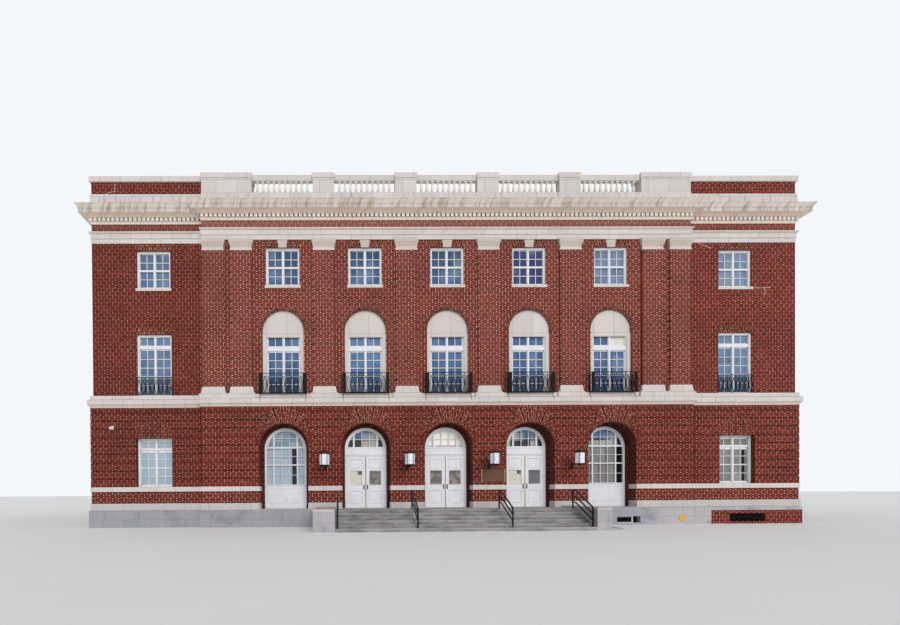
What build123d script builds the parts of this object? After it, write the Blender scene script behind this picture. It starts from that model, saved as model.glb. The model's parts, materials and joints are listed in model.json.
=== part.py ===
"""A three-storey brick courthouse with stone trim, in millimetres.

The front faces -Y and +Z is up. The origin lies on the ground, under the front wall, on the
building's centre line. Heights are added up course by course from the ground.
"""
import os
from math import atan2, degrees

from build123d import *

# Plan
WING_HALF = 18970.0          # half of the width over the upper walls
PAVILION_HALF = 13000.0      # half of the width of the middle that steps forward
PAVILION_STEP = 300.0        # how far the middle stands in front of the wings
DEPTH = 25000.0              # front wall face to back wall face
WALL = 600.0                 # thickness of the walls at the wings, sides and back
GROUND_PROUD = 90.0          # ground storey brick in front of the upper brick
BASE_PROUD = 140.0           # stone base course in front of the upper brick
FOUNDATION_PROUD = 190.0     # foundation stone in front of the upper brick
LEDGE_PROUD = 135.0          # thin stone ledge in front of the upper brick
BAY = 4370.0                 # distance between window centres of the middle
BAYS = 5
WING_WINDOW_X = 15690.0      # centre line of a wing's windows
SIDE_BAYS = 5

# Heights of the courses, from the ground up
FOUNDATION_H = 910.0
BASE_H = 380.0
BAND_H = 630.0
LEDGE_H = 250.0
GROUND_BRICK_H = 4230.0
BELT_H = 650.0
UPPER_WALL_H = 8150.0
ARCHITRAVE_H = 600.0
FRIEZE_H = 420.0
BED_H = 390.0                # plain and dentil part of the cornice
CORONA_H = 190.0
CYMA_H = 230.0
PARAPET_BASE_H = 770.0
PANEL_H = 670.0
COPING_H = 280.0

Z_BASE = FOUNDATION_H
Z_BAND = Z_BASE + BASE_H
Z_LEDGE = Z_BAND + BAND_H
Z_GROUND = Z_LEDGE + LEDGE_H
Z_BELT = Z_GROUND + GROUND_BRICK_H
Z_UPPER = Z_BELT + BELT_H
Z_ARCHITRAVE = Z_UPPER + UPPER_WALL_H
Z_FRIEZE = Z_ARCHITRAVE + ARCHITRAVE_H
Z_CORNICE = Z_FRIEZE + FRIEZE_H
Z_PARAPET = Z_CORNICE + BED_H + CORONA_H + CYMA_H
Z_PANEL = Z_PARAPET + PARAPET_BASE_H
Z_COPING = Z_PANEL + PANEL_H

# Floors and roof
GROUND_FLOOR = 950.0         # top of the ground floor and of the door thresholds
FLOOR_T = 300.0
SECOND_FLOOR = 7050.0
THIRD_FLOOR = 12300.0
ROOF_TOP = 17000.0
ROOF_T = 350.0

# Ground storey arches
ARCH_W = 2570.0              # clear width of the outer brick order
ARCH_CROWN = 5490.0
INNER_ORDER = 150.0          # how far the inner brick order stands into the arch
ORDER_DEPTH = 650.0          # face to the inner order
FRAME_DEPTH_IN = 750.0       # face to the white frames
FRAME_T = 100.0
FRAME_W = 92.0               # width of a frame's jamb
SASH_W = 60.0
TRANSOM_H = 510.0            # white panel over the door leaves
GLASS_T = 12.0

# Doors
LEAF_T = 55.0
LEAF_H = 2800.0
LEAF_GAP = 6.0
LEAF_STILE = 190.0
LEAF_GLASS_Z = 1250.0        # foot of the leaf to the foot of its pane
LEAF_GLASS_H = 780.0
BOTTOM_RAIL = 250.0
LOCK_RAIL = 330.0            # between the lower panel and the glass
CROSS_RAIL = 120.0
TOP_RAIL = 150.0
PANEL_SUNK = 12.0
HINGE_R = 12.0
HINGE_H = 110.0
HINGE_END = 250.0            # end of the leaf to the middle of its hinge
HINGE_PLATE = 60.0
HINGE_PLATE_T = 4.0
SEAT = 0.3                   # running clearance

# Upper windows
FRENCH_ARCH_W = 2190.0
FRENCH_ARCH_CROWN = 11500.0
FRENCH_HEAD = 10280.0
FRENCH_W = 1720.0
WING_FRENCH_W = 1840.0
WING_FRENCH_HEAD = 10330.0
GROUND_WINDOW_W = 1900.0
GROUND_WINDOW_HEAD = 4770.0
GROUND_TRANSOM = 600.0       # head of a ground storey window to its cross bar
GROUND_BAR_H = 90.0
WINDOW_IN = 250.0            # reveal of the ground storey windows
FRENCH_BAR = 9370.0          # foot of the cross bars of the tall windows
FRENCH_BAR_H = 240.0
WING_FRENCH_BAR = 9600.0
WING_FRENCH_BAR_H = 160.0
MEETING_RAIL_H = 90.0
MULLION = 100.0
SASH_DEPTH = 90.0
TOP_WINDOW_W = 1780.0
TOP_WINDOW_SILL = 12800.0
TOP_WINDOW_H = 2000.0
REVEAL = 120.0
CASING_T = 140.0
SILL_H = 130.0
SILL_SIDE = 60.0
SILL_PROUD = 50.0
SILL_IN = 110.0
KEY_TOP_W = 520.0
KEY_FOOT_W = 420.0
KEY_PROUD = 45.0
TYMPANUM_BACK = 100.0
TYMPANUM_T = 200.0

# Pilasters
PILASTER_W = 1110.0
PILASTER_OUT = 105.0
ENTABLATURE_OUT = 55.0       # entablature of the middle in front of its wall
PAIR_PITCH = 1490.0
PLINTH_H = 140.0
TORUS_H = 240.0
CAPITAL_H = 580.0
PLINTH_OUT = 70.0

# Parapet of the middle
PLINTH_COURSE_H = 640.0
PLINTH_PROUD = 40.0
PLINTH_FLARE = 130.0         # how far the plinth's foot spreads
PLINTH_STEP_H = 200.0
BALUSTER_H = 700.0
RAIL_H = 290.0
CAP_H = 60.0
PEDESTAL_W = 1130.0
BALUSTERS = 10
BALUSTER_R = 85.0
BALUSTER_SIDES = 8
PARAPET_T = 420.0
RAIL_PROUD = 60.0
CAP_PROUD = 40.0
COPING_OUT = 90.0            # wing coping in front of the brick
PANEL_BACK = 60.0            # how much thinner the brick panels are than the stone

# Balconies
BALCONY_W = 2450.0
BALCONY_OUT = 330.0
BALCONY_H = 1050.0
BALCONY_BARS = 17
BAR = 22.0
MID_RAIL_DROP = 160.0
SCREEN_BARS = 13             # flat screens of the wings
SCREEN_SIDE = 30.0           # past the opening, and clear of the wall
SCREEN_LIFT = 60.0
SCREEN_DROP = 40.0

# Steps
RISERS = 6
RISER = 158.0
TREAD = 370.0
LANDING = 1420.0
STEPS_HALF = 6000.0
LEFT_CHEEK_W = 1000.0
RIGHT_CHEEK_W = 680.0
CHEEK_TOP = 1050.0
KERB_W = 520.0               # low slab beside the right cheek block
KERB_H = 100.0
RAIL_R = 21.0
RAIL_TOP = 900.0             # top rail above the treads
RAIL_DROP = 300.0            # one rail to the next
RAIL_ROWS = 3
RAIL_LEVEL = 260.0           # level stretch at the upper post
RAIL_BEND = 90.0
RAIL_SIDES = 8
INNER_RAIL_X = 2185.0
OUTER_RAIL_X = 5880.0

# Lanterns
LANTERN_R = 280.0
LANTERN_H = 620.0
LANTERN_FOOT = 3190.0
LANTERN_OUT = 850.0          # ground storey brick to the lantern's axis
LANTERN_CAP_H = 110.0
LANTERN_FINIAL_H = 70.0
LANTERN_PENDANT_H = 130.0
LANTERN_KNOB_R = 45.0
BRACKET = 40.0
WALL_PLATE = 160.0


def outline(grow):
    """Corners of the plan, grown outwards from the upper wall face."""
    wing, middle = WING_HALF + grow, PAVILION_HALF + grow
    front, step, back = -grow, -PAVILION_STEP - grow, DEPTH + grow
    return [(-wing, front), (-middle, front), (-middle, step), (middle, step),
            (middle, front), (wing, front), (wing, back), (-wing, back)]


def course(low, high, grow, thick=WALL):
    """Add a level ring of masonry that follows the plan."""
    with BuildSketch(Plane.XY.offset(low)) as area:
        Polygon(*outline(grow), align=None)
        with Locations((0, DEPTH / 2)):
            Rectangle(2 * (WING_HALF - thick), DEPTH - 2 * thick, mode=Mode.SUBTRACT)
    extrude(area.sketch, amount=high - low)


def box(x0, x1, y0, y1, z0, z1, mode=Mode.ADD):
    """Add or take away a box given by its sides."""
    with Locations(((x0 + x1) / 2, (y0 + y1) / 2, (z0 + z1) / 2)):
        Box(x1 - x0, y1 - y0, z1 - z0, mode=mode)


def face_plane(side, out=0.0):
    """An upright plane on a side of the building, x along it and y up, seen from outside."""
    if side == "front":
        return Plane(origin=(0, -out, 0), x_dir=(1, 0, 0), z_dir=(0, -1, 0))
    if side == "back":
        return Plane(origin=(0, DEPTH + out, 0), x_dir=(-1, 0, 0), z_dir=(0, 1, 0))
    if side == "left":
        return Plane(origin=(-WING_HALF - out, DEPTH / 2, 0), x_dir=(0, -1, 0), z_dir=(-1, 0, 0))
    return Plane(origin=(WING_HALF + out, DEPTH / 2, 0), x_dir=(0, 1, 0), z_dir=(1, 0, 0))


def upright(side, out, depth, xs, width, foot, head, mode=Mode.ADD):
    """Extrude a row of equal upright rectangles inwards from a plane in front of a wall."""
    with BuildSketch(face_plane(side, out)) as area:
        with Locations(*[(x, (foot + head) / 2) for x in xs]):
            Rectangle(width, head - foot)
    extrude(area.sketch, amount=-depth, mode=mode)


def arched(out, depth, x, width, foot, crown, mode=Mode.ADD):
    """Extrude an upright shape with a half round head inwards at the front."""
    radius = width / 2
    spring = crown - radius
    with BuildSketch(face_plane("front", out)) as area:
        with BuildLine():
            Line((x - radius, foot), (x + radius, foot))
            Line((x + radius, foot), (x + radius, spring))
            ThreePointArc((x + radius, spring), (x, crown), (x - radius, spring))
            Line((x - radius, spring), (x - radius, foot))
        make_face()
    extrude(area.sketch, amount=-depth, mode=mode)


def moulding(points_out_z, low, step):
    """Sweep an open moulding profile, given by its outer edge, round the plan."""
    start = (0, -step)
    corners = [(PAVILION_HALF, -step), (PAVILION_HALF, 0), (WING_HALF, 0), (WING_HALF, DEPTH),
               (-WING_HALF, DEPTH), (-WING_HALF, 0), (-PAVILION_HALF, 0), (-PAVILION_HALF, -step)]
    with BuildLine() as path:
        Polyline(start, *corners, start)
    with BuildSketch(Plane(origin=(0, -step, low), x_dir=(0, -1, 0), z_dir=(-1, 0, 0))) as section:
        Polygon(*points_out_z, align=None)
    sweep(section.sketch, path=path.wires()[0], transition=Transition.RIGHT)


# Where things stand
BAY_X = [(i - (BAYS - 1) / 2) * BAY for i in range(BAYS)]
DOOR_X = BAY_X[1:-1]
WINDOW_BAY_X = [BAY_X[0], BAY_X[-1]]
WING_X = [-WING_WINDOW_X, WING_WINDOW_X]
SIDE_X = [(i - (SIDE_BAYS - 1) / 2) * BAY for i in range(SIDE_BAYS)]
PILASTER_X = [(i - (BAYS - 2) / 2) * BAY for i in range(-1, BAYS)]
PILASTER_X = [PILASTER_X[0] - PAIR_PITCH, *PILASTER_X, PILASTER_X[-1] + PAIR_PITCH]
PLAIN_WALLS = (("front", WING_X), ("left", SIDE_X), ("right", SIDE_X), ("back", BAY_X + WING_X))
INNER_X = WING_HALF - WALL
INNER_Y0 = WALL
INNER_Y1 = DEPTH - WALL
GROUND_FACE = PAVILION_STEP + GROUND_PROUD      # middle's ground storey face, before the wings
FOUNDATION_FACE = PAVILION_STEP + FOUNDATION_PROUD
ARCH_R = ARCH_W / 2
SPRING = ARCH_CROWN - ARCH_R
INNER_W = ARCH_W - 2 * INNER_ORDER
INNER_CROWN = ARCH_CROWN - INNER_ORDER
FRAME_FRONT = GROUND_FACE - FRAME_DEPTH_IN      # out value of the frames' front
LEAF_TOP = GROUND_FLOOR + 2 * LEAF_GAP + LEAF_H
TRANSOM_FOOT = LEAF_TOP + LEAF_GAP
TRANSOM_TOP = TRANSOM_FOOT + TRANSOM_H
DOOR_W = INNER_W - 2 * FRAME_W                  # between the jambs
STEPS_FRONT = FOUNDATION_FACE + LANDING + (RISERS - 1) * TREAD
LANDING_TOP = RISERS * RISER
KEY_ANGLE = degrees(atan2(Z_ARCHITRAVE - TOP_WINDOW_SILL - TOP_WINDOW_H, (KEY_TOP_W - KEY_FOOT_W) / 2))
TOP_WINDOW_HEAD = TOP_WINDOW_SILL + TOP_WINDOW_H
THROUGH = 4 * WALL                              # deep enough to cut through any wall

os.makedirs("parts", exist_ok=True)

# Foundation and base course, cut for the doorways and the basement windows
BASEMENT_WINDOW = (8920.0, 10180.0, 80.0, 470.0)
STRIP_X0 = 14220.0
STRIP_H = 730.0
STRIP_IN = 300.0
STRIP_WINDOW = (15220.0, 17160.0, 120.0, 550.0)
with BuildPart() as stone_base:
    course(0, Z_BASE, FOUNDATION_PROUD)
    course(Z_BASE, Z_BAND, BASE_PROUD)
    upright("front", THROUGH / 2, THROUGH, BAY_X, ARCH_W, GROUND_FLOOR, Z_BAND + 1, Mode.SUBTRACT)
    x0, x1, z0, z1 = BASEMENT_WINDOW
    upright("front", THROUGH / 2, THROUGH, [(x0 + x1) / 2], x1 - x0, z0, z1, Mode.SUBTRACT)
    corner = WING_HALF + FOUNDATION_PROUD
    box(STRIP_X0, corner, -FOUNDATION_PROUD, STRIP_IN, 0, STRIP_H, Mode.SUBTRACT)
    x0, x1, z0, z1 = STRIP_WINDOW
    upright("front", THROUGH / 2, THROUGH, [(x0 + x1) / 2], x1 - x0, z0, z1, Mode.SUBTRACT)
stone_base.part.label = "stone_base"
export_step(stone_base.part, "parts/stone_base.step")

# Brick strip let into the foundation of the right wing
with BuildPart() as basement_brick:
    box(STRIP_X0, corner, -FOUNDATION_PROUD, STRIP_IN, 0, STRIP_H)
    x0, x1, z0, z1 = STRIP_WINDOW
    upright("front", THROUGH / 2, THROUGH, [(x0 + x1) / 2], x1 - x0, z0, z1, Mode.SUBTRACT)
basement_brick.part.label = "basement_brick"
export_step(basement_brick.part, "parts/basement_brick.step")

# Brick band and stone ledge, open at the five arches
with BuildPart() as brick_band:
    course(Z_BAND, Z_LEDGE, GROUND_PROUD)
    upright("front", THROUGH / 2, THROUGH, BAY_X, ARCH_W, Z_BAND - 1, Z_LEDGE + 1, Mode.SUBTRACT)
brick_band.part.label = "brick_band"
export_step(brick_band.part, "parts/brick_band.step")

with BuildPart() as stone_ledge:
    course(Z_LEDGE, Z_GROUND, LEDGE_PROUD)
    upright("front", THROUGH / 2, THROUGH, BAY_X, ARCH_W, Z_LEDGE - 1, Z_GROUND + 1, Mode.SUBTRACT)
stone_ledge.part.label = "stone_ledge"
export_step(stone_ledge.part, "parts/stone_ledge.step")

# Ground storey of the middle: piers, then one band of two-order arches on them
with BuildPart() as entrance_piers:
    half = PAVILION_HALF + GROUND_PROUD
    edges = [-half] + [x + side * ARCH_R for x in BAY_X for side in (-1, 1)] + [half]
    for x0, x1 in zip(edges[::2], edges[1::2]):
        box(x0, x1, -GROUND_FACE, INNER_Y0, Z_GROUND, SPRING)
entrance_piers.part.label = "entrance_piers"
export_step(entrance_piers.part, "parts/entrance_piers.step")

with BuildPart() as entrance_arches:
    half = PAVILION_HALF + GROUND_PROUD
    box(-half, half, -GROUND_FACE, INNER_Y0, SPRING, Z_BELT)
    for x in BAY_X:
        arched(GROUND_FACE, ORDER_DEPTH, x, ARCH_W, SPRING - ARCH_R, ARCH_CROWN, Mode.SUBTRACT)
        arched(GROUND_FACE, THROUGH, x, INNER_W, SPRING - ARCH_R, INNER_CROWN, Mode.SUBTRACT)
entrance_arches.part.label = "entrance_arches"
export_step(entrance_arches.part, "parts/entrance_arches.step")

# Inner brick order, which stands behind the face of each opening
with BuildPart() as inner_jambs:
    for x in BAY_X:
        for side in (-1, 1):
            near, far = sorted((x + side * INNER_W / 2, x + side * ARCH_R))
            box(near, far, ORDER_DEPTH - GROUND_FACE, INNER_Y0, GROUND_FLOOR, SPRING)
inner_jambs.part.label = "inner_jambs"
export_step(inner_jambs.part, "parts/inner_jambs.step")

# The other ground storey walls
with BuildPart() as ground_wing_walls:
    for side in (-1, 1):
        near, far = sorted((side * (PAVILION_HALF + GROUND_PROUD), side * (WING_HALF + GROUND_PROUD)))
        box(near, far, -GROUND_PROUD, INNER_Y0, Z_GROUND, Z_BELT)
    upright("front", WALL, THROUGH, WING_X, GROUND_WINDOW_W, Z_GROUND, GROUND_WINDOW_HEAD, Mode.SUBTRACT)
ground_wing_walls.part.label = "ground_wing_walls"
export_step(ground_wing_walls.part, "parts/ground_wing_walls.step")

with BuildPart() as ground_side_walls:
    for side in (-1, 1):
        near, far = sorted((side * INNER_X, side * (WING_HALF + GROUND_PROUD)))
        box(near, far, INNER_Y0, INNER_Y1, Z_GROUND, Z_BELT)
    for side in ("left", "right"):
        upright(side, WALL, THROUGH, SIDE_X, GROUND_WINDOW_W, Z_GROUND, GROUND_WINDOW_HEAD, Mode.SUBTRACT)
ground_side_walls.part.label = "ground_side_walls"
export_step(ground_side_walls.part, "parts/ground_side_walls.step")

with BuildPart() as ground_back_wall:
    half = WING_HALF + GROUND_PROUD
    box(-half, half, INNER_Y1, DEPTH + GROUND_PROUD, Z_GROUND, Z_BELT)
    upright("back", WALL, THROUGH, BAY_X + WING_X, GROUND_WINDOW_W, Z_GROUND, GROUND_WINDOW_HEAD,
            Mode.SUBTRACT)
ground_back_wall.part.label = "ground_back_wall"
export_step(ground_back_wall.part, "parts/ground_back_wall.step")

# Belt course: a cavetto under a fascia, with a set-back upper course
FASCIA_OUT = 220.0
CAVETTO_H = 170.0
FASCIA_H = 230.0
EMBED = 60.0
with BuildPart() as belt_course:
    course(Z_BELT, Z_UPPER, 120.0)
    moulding([(-EMBED, 0), (GROUND_PROUD + 20, 0), (FASCIA_OUT - 60, CAVETTO_H - 60),
              (FASCIA_OUT, CAVETTO_H), (FASCIA_OUT, CAVETTO_H + FASCIA_H), (120, CAVETTO_H + FASCIA_H + 60),
              (-EMBED, CAVETTO_H + FASCIA_H + 60)], Z_BELT, PAVILION_STEP)
belt_course.part.label = "belt_course"
export_step(belt_course.part, "parts/belt_course.step")

# Upper walls, two storeys high
with BuildPart() as upper_front_wall:
    box(-PAVILION_HALF, PAVILION_HALF, -PAVILION_STEP, INNER_Y0, Z_UPPER, Z_ARCHITRAVE)
    for x in BAY_X:
        arched(THROUGH / 2, THROUGH, x, FRENCH_ARCH_W, Z_UPPER, FRENCH_ARCH_CROWN, Mode.SUBTRACT)
    upright("front", THROUGH / 2, THROUGH, BAY_X, TOP_WINDOW_W, TOP_WINDOW_SILL - SILL_H,
            TOP_WINDOW_HEAD, Mode.SUBTRACT)
upper_front_wall.part.label = "upper_front_wall"
export_step(upper_front_wall.part, "parts/upper_front_wall.step")


def upper_holes(side, xs):
    """Cut a French window and a sash window above it at each place."""
    upright(side, WALL, THROUGH, xs, WING_FRENCH_W, Z_UPPER, WING_FRENCH_HEAD, Mode.SUBTRACT)
    upright(side, WALL, THROUGH, xs, TOP_WINDOW_W, TOP_WINDOW_SILL - SILL_H, TOP_WINDOW_HEAD,
            Mode.SUBTRACT)


with BuildPart() as upper_wing_walls:
    for side in (-1, 1):
        near, far = sorted((side * PAVILION_HALF, side * WING_HALF))
        box(near, far, 0, INNER_Y0, Z_UPPER, Z_ARCHITRAVE)
    upper_holes("front", WING_X)
upper_wing_walls.part.label = "upper_wing_walls"
export_step(upper_wing_walls.part, "parts/upper_wing_walls.step")

with BuildPart() as upper_side_walls:
    for side in (-1, 1):
        near, far = sorted((side * INNER_X, side * WING_HALF))
        box(near, far, INNER_Y0, INNER_Y1, Z_UPPER, Z_ARCHITRAVE)
    upper_holes("left", SIDE_X)
    upper_holes("right", SIDE_X)
upper_side_walls.part.label = "upper_side_walls"
export_step(upper_side_walls.part, "parts/upper_side_walls.step")

with BuildPart() as upper_back_wall:
    box(-WING_HALF, WING_HALF, INNER_Y1, DEPTH, Z_UPPER, Z_ARCHITRAVE)
    upper_holes("back", BAY_X + WING_X)
upper_back_wall.part.label = "upper_back_wall"
export_step(upper_back_wall.part, "parts/upper_back_wall.step")

# Pilasters
with BuildPart() as pilaster_shafts:
    for x in PILASTER_X:
        box(x - PILASTER_W / 2, x + PILASTER_W / 2, -PAVILION_STEP - PILASTER_OUT, -PAVILION_STEP,
            Z_UPPER + PLINTH_H + TORUS_H, Z_ARCHITRAVE - CAPITAL_H)
pilaster_shafts.part.label = "pilaster_shafts"
export_step(pilaster_shafts.part, "parts/pilaster_shafts.step")


def pilaster_stones_row(low, height, grow, flare=0.0):
    """One stone of each pilaster, reaching through the wall face, straight or flaring upwards."""
    with BuildSketch(Plane.XY.offset(low)) as area:
        with Locations(*[(x, -PAVILION_STEP) for x in PILASTER_X]):
            Rectangle(PILASTER_W + 2 * grow, 2 * (PILASTER_OUT + grow))
    extrude(area.sketch, amount=height, taper=-degrees(atan2(flare, height)))


CAPITAL_FOOT = Z_ARCHITRAVE - CAPITAL_H
BASE_STONES = ((PLINTH_H, PLINTH_OUT, 0), (TORUS_H / 2, PLINTH_OUT - 12, 0),
               (TORUS_H / 2, PLINTH_OUT - 20, 10 - PLINTH_OUT / 2))
CAPITAL_STONES = ((60, 25, 0), (190, 5, 0), (150, 15, PLINTH_OUT - 15), (180, PLINTH_OUT + 10, 0))
with BuildPart() as pilaster_stones:
    for foot, stones in ((Z_UPPER, BASE_STONES), (CAPITAL_FOOT, CAPITAL_STONES)):
        for height, grow, flare in stones:
            pilaster_stones_row(foot, height, grow, flare)
            foot += height
    split(bisect_by=Plane(origin=(0, -PAVILION_STEP, 0), z_dir=(0, -1, 0)), keep=Keep.TOP)
pilaster_stones.part.label = "pilaster_stones"
export_step(pilaster_stones.part, "parts/pilaster_stones.step")

# Entablature
ENTABLATURE_STEP = PAVILION_STEP + ENTABLATURE_OUT


def entablature_core(low, high, grow):
    """A level course whose middle comes forward over the pilasters."""
    course(low, high, grow)
    half = PAVILION_HALF + grow
    box(-half, half, -ENTABLATURE_STEP - grow, 0, low, high)


with BuildPart() as architrave:
    entablature_core(Z_ARCHITRAVE, Z_FRIEZE, 0)
    moulding([(-EMBED, 0), (20, 0), (20, 240), (40, 240), (40, 480), (110, 540), (110, ARCHITRAVE_H),
              (-EMBED, ARCHITRAVE_H)], Z_ARCHITRAVE, ENTABLATURE_STEP)
architrave.part.label = "architrave"
export_step(architrave.part, "parts/architrave.step")

with BuildPart() as brick_frieze:
    entablature_core(Z_FRIEZE, Z_CORNICE, 0)
brick_frieze.part.label = "brick_frieze"
export_step(brick_frieze.part, "parts/brick_frieze.step")

BED_MOULD_H = 100.0
DENTIL_H = 200.0
BED_OUT = 90.0
OVOLO_OUT = 210.0
CORONA_OUT = 460.0
CORNICE_OUT = 590.0
with BuildPart() as cornice:
    entablature_core(Z_CORNICE, Z_PARAPET, 0)
    top = BED_H + CORONA_H + CYMA_H
    moulding([(-EMBED, 0), (20, 0), (BED_OUT, BED_MOULD_H), (BED_OUT, BED_MOULD_H + DENTIL_H),
              (OVOLO_OUT - 50, BED_MOULD_H + DENTIL_H), (OVOLO_OUT, BED_H), (CORONA_OUT, BED_H),
              (CORONA_OUT, BED_H + CORONA_H), (CORONA_OUT + 20, BED_H + CORONA_H),
              (CORONA_OUT + 40, BED_H + CORONA_H + 80), (CORNICE_OUT - 30, top - 60),
              (CORNICE_OUT, top - 40), (CORNICE_OUT, top), (-EMBED, top)],
             Z_CORNICE, ENTABLATURE_STEP)
cornice.part.label = "cornice"
export_step(cornice.part, "parts/cornice.step")

# Parapet of the wings, sides and back, and the plinth under the balustrade
PARAPET_OUT = 60.0
with BuildPart() as parapet_base:
    for x0, x1 in ((-WING_HALF, -PAVILION_HALF), (PAVILION_HALF, WING_HALF)):
        grow_left = PARAPET_OUT if x0 < 0 else 0
        grow_right = PARAPET_OUT if x0 > 0 else 0
        box(x0 - grow_left, x1 + grow_right, -PARAPET_OUT, PARAPET_T, Z_PARAPET, Z_PANEL)
    for side in (-1, 1):
        near, far = sorted((side * (WING_HALF - PARAPET_T), side * (WING_HALF + PARAPET_OUT)))
        box(near, far, PARAPET_T, DEPTH - PARAPET_T, Z_PARAPET, Z_PANEL)
    box(-WING_HALF - PARAPET_OUT, WING_HALF + PARAPET_OUT, DEPTH - PARAPET_T, DEPTH + PARAPET_OUT,
        Z_PARAPET, Z_PANEL)
parapet_base.part.label = "parapet_base"
export_step(parapet_base.part, "parts/parapet_base.step")


def parapet_course(low, high, grow, thick):
    """A course of the low wall round the roof, without the middle of the front."""
    for side in (-1, 1):
        near, far = sorted((side * PAVILION_HALF, side * (WING_HALF + grow)))
        box(near, far, -grow, thick, low, high)
        near, far = sorted((side * (WING_HALF - thick), side * (WING_HALF + grow)))
        box(near, far, 0, DEPTH, low, high)
    box(-WING_HALF - grow, WING_HALF + grow, DEPTH - thick, DEPTH + grow, low, high)


with BuildPart() as parapet_panels:
    parapet_course(Z_PANEL, Z_COPING, 0, PARAPET_T - PANEL_BACK)
parapet_panels.part.label = "parapet_panels"
export_step(parapet_panels.part, "parts/parapet_panels.step")

with BuildPart() as parapet_coping:
    parapet_course(Z_COPING, Z_COPING + COPING_H, COPING_OUT, PARAPET_T)
parapet_coping.part.label = "parapet_coping"
export_step(parapet_coping.part, "parts/parapet_coping.step")

# Balustrade over the middle
RAIL_FOOT = Z_PARAPET + PLINTH_COURSE_H + BALUSTER_H
BALUSTRADE_Y = -ENTABLATURE_STEP + PARAPET_T / 2
PEDESTAL_X = [(i - BAYS / 2) * BAY for i in range(BAYS + 1)]
END_PEDESTAL_IN = BAY * BAYS / 2 - PEDESTAL_W / 2      # inner side of the wide end pedestals
with BuildPart() as balustrade_plinth:
    left_end = Plane(origin=(-PAVILION_HALF, 0, Z_PARAPET), x_dir=(0, -1, 0), z_dir=(-1, 0, 0))
    with BuildSketch(left_end) as foot:
        face = ENTABLATURE_STEP + PLINTH_PROUD
        spread = face + PLINTH_FLARE
        flare_top = PLINTH_COURSE_H - PLINTH_STEP_H
        Polygon((-PARAPET_T, 0), (spread, 0), (spread, PLINTH_STEP_H), (face, flare_top),
                (face, PLINTH_COURSE_H), (-PARAPET_T, PLINTH_COURSE_H), align=None)
    extrude(foot.sketch, amount=-2 * PAVILION_HALF)
balustrade_plinth.part.label = "balustrade_plinth"
export_step(balustrade_plinth.part, "parts/balustrade_plinth.step")

with BuildPart() as pedestals:
    low = Z_PARAPET + PLINTH_COURSE_H
    for x in PEDESTAL_X[1:-1]:
        box(x - PEDESTAL_W / 2, x + PEDESTAL_W / 2, BALUSTRADE_Y - PARAPET_T / 2,
            BALUSTRADE_Y + PARAPET_T / 2, low, RAIL_FOOT)
    for side in (-1, 1):
        near, far = sorted((side * END_PEDESTAL_IN, side * PAVILION_HALF))
        box(near, far, BALUSTRADE_Y - PARAPET_T / 2, PARAPET_T, low, RAIL_FOOT)
pedestals.part.label = "pedestals"
export_step(pedestals.part, "parts/pedestals.step")

with BuildPart() as balustrade_rail:
    half = PARAPET_T / 2 + RAIL_PROUD
    box(-PAVILION_HALF, PAVILION_HALF, BALUSTRADE_Y - half, BALUSTRADE_Y + half, RAIL_FOOT,
        RAIL_FOOT + RAIL_H)
    for x in PEDESTAL_X[1:-1]:
        box(x - PEDESTAL_W / 2 - CAP_PROUD, x + PEDESTAL_W / 2 + CAP_PROUD, BALUSTRADE_Y - half - CAP_PROUD,
            BALUSTRADE_Y + half + CAP_PROUD, RAIL_FOOT, RAIL_FOOT + RAIL_H + CAP_H)
    for side in (-1, 1):
        near, far = sorted((side * (END_PEDESTAL_IN - CAP_PROUD), side * PAVILION_HALF))
        box(near, far, BALUSTRADE_Y - half - CAP_PROUD, PARAPET_T, RAIL_FOOT, RAIL_FOOT + RAIL_H + CAP_H)
        near, far = sorted((side * END_PEDESTAL_IN, side * (PAVILION_HALF + RAIL_PROUD + CAP_PROUD)))
        box(near, far, BALUSTRADE_Y - half - CAP_PROUD, -COPING_OUT - SEAT, RAIL_FOOT,
            RAIL_FOOT + RAIL_H + CAP_H)
balustrade_rail.part.label = "balustrade_rail"
export_step(balustrade_rail.part, "parts/balustrade_rail.step")

# One turned baluster, as stacked lofts, then all of them
BALUSTER_PROFILE = [(0.00, 1.00), (0.12, 1.00), (0.12, 0.55), (0.38, 1.00), (0.74, 0.42), (0.88, 0.62),
                    (0.88, 1.00), (1.00, 1.00)]
with BuildPart() as baluster:
    for (t0, r0), (t1, r1) in zip(BALUSTER_PROFILE, BALUSTER_PROFILE[1:]):
        if t1 > t0:
            rings = []
            for t, r in ((t0, r0), (t1, r1)):
                with BuildSketch(Plane.XY.offset(t * BALUSTER_H)) as ring:
                    RegularPolygon(r * BALUSTER_R, BALUSTER_SIDES, major_radius=False,
                                   rotation=180 / BALUSTER_SIDES)
                rings.append(ring.sketch)
            loft(rings, ruled=True)
baluster_places = []
for left, right in zip(PEDESTAL_X, PEDESTAL_X[1:]):
    pitch = (right - left - PEDESTAL_W) / (BALUSTERS + 1)
    baluster_places += [(left + PEDESTAL_W / 2 + pitch * (i + 1), BALUSTRADE_Y,
                         Z_PARAPET + PLINTH_COURSE_H) for i in range(BALUSTERS)]
with BuildPart() as balusters:
    with Locations(*baluster_places):
        add(baluster.part)
balusters.part.label = "balusters"
export_step(balusters.part, "parts/balusters.step")

# Floors and flat roof
with BuildPart() as floors:
    for top in (GROUND_FLOOR, SECOND_FLOOR, THIRD_FLOOR):
        box(-INNER_X, INNER_X, INNER_Y0, INNER_Y1, top - FLOOR_T, top)
floors.part.label = "floors"
export_step(floors.part, "parts/floors.step")

with BuildPart() as roof:
    box(-INNER_X, INNER_X, INNER_Y0, INNER_Y1, ROOF_TOP - ROOF_T, ROOF_TOP)
roof.part.label = "roof"
export_step(roof.part, "parts/roof.step")

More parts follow.
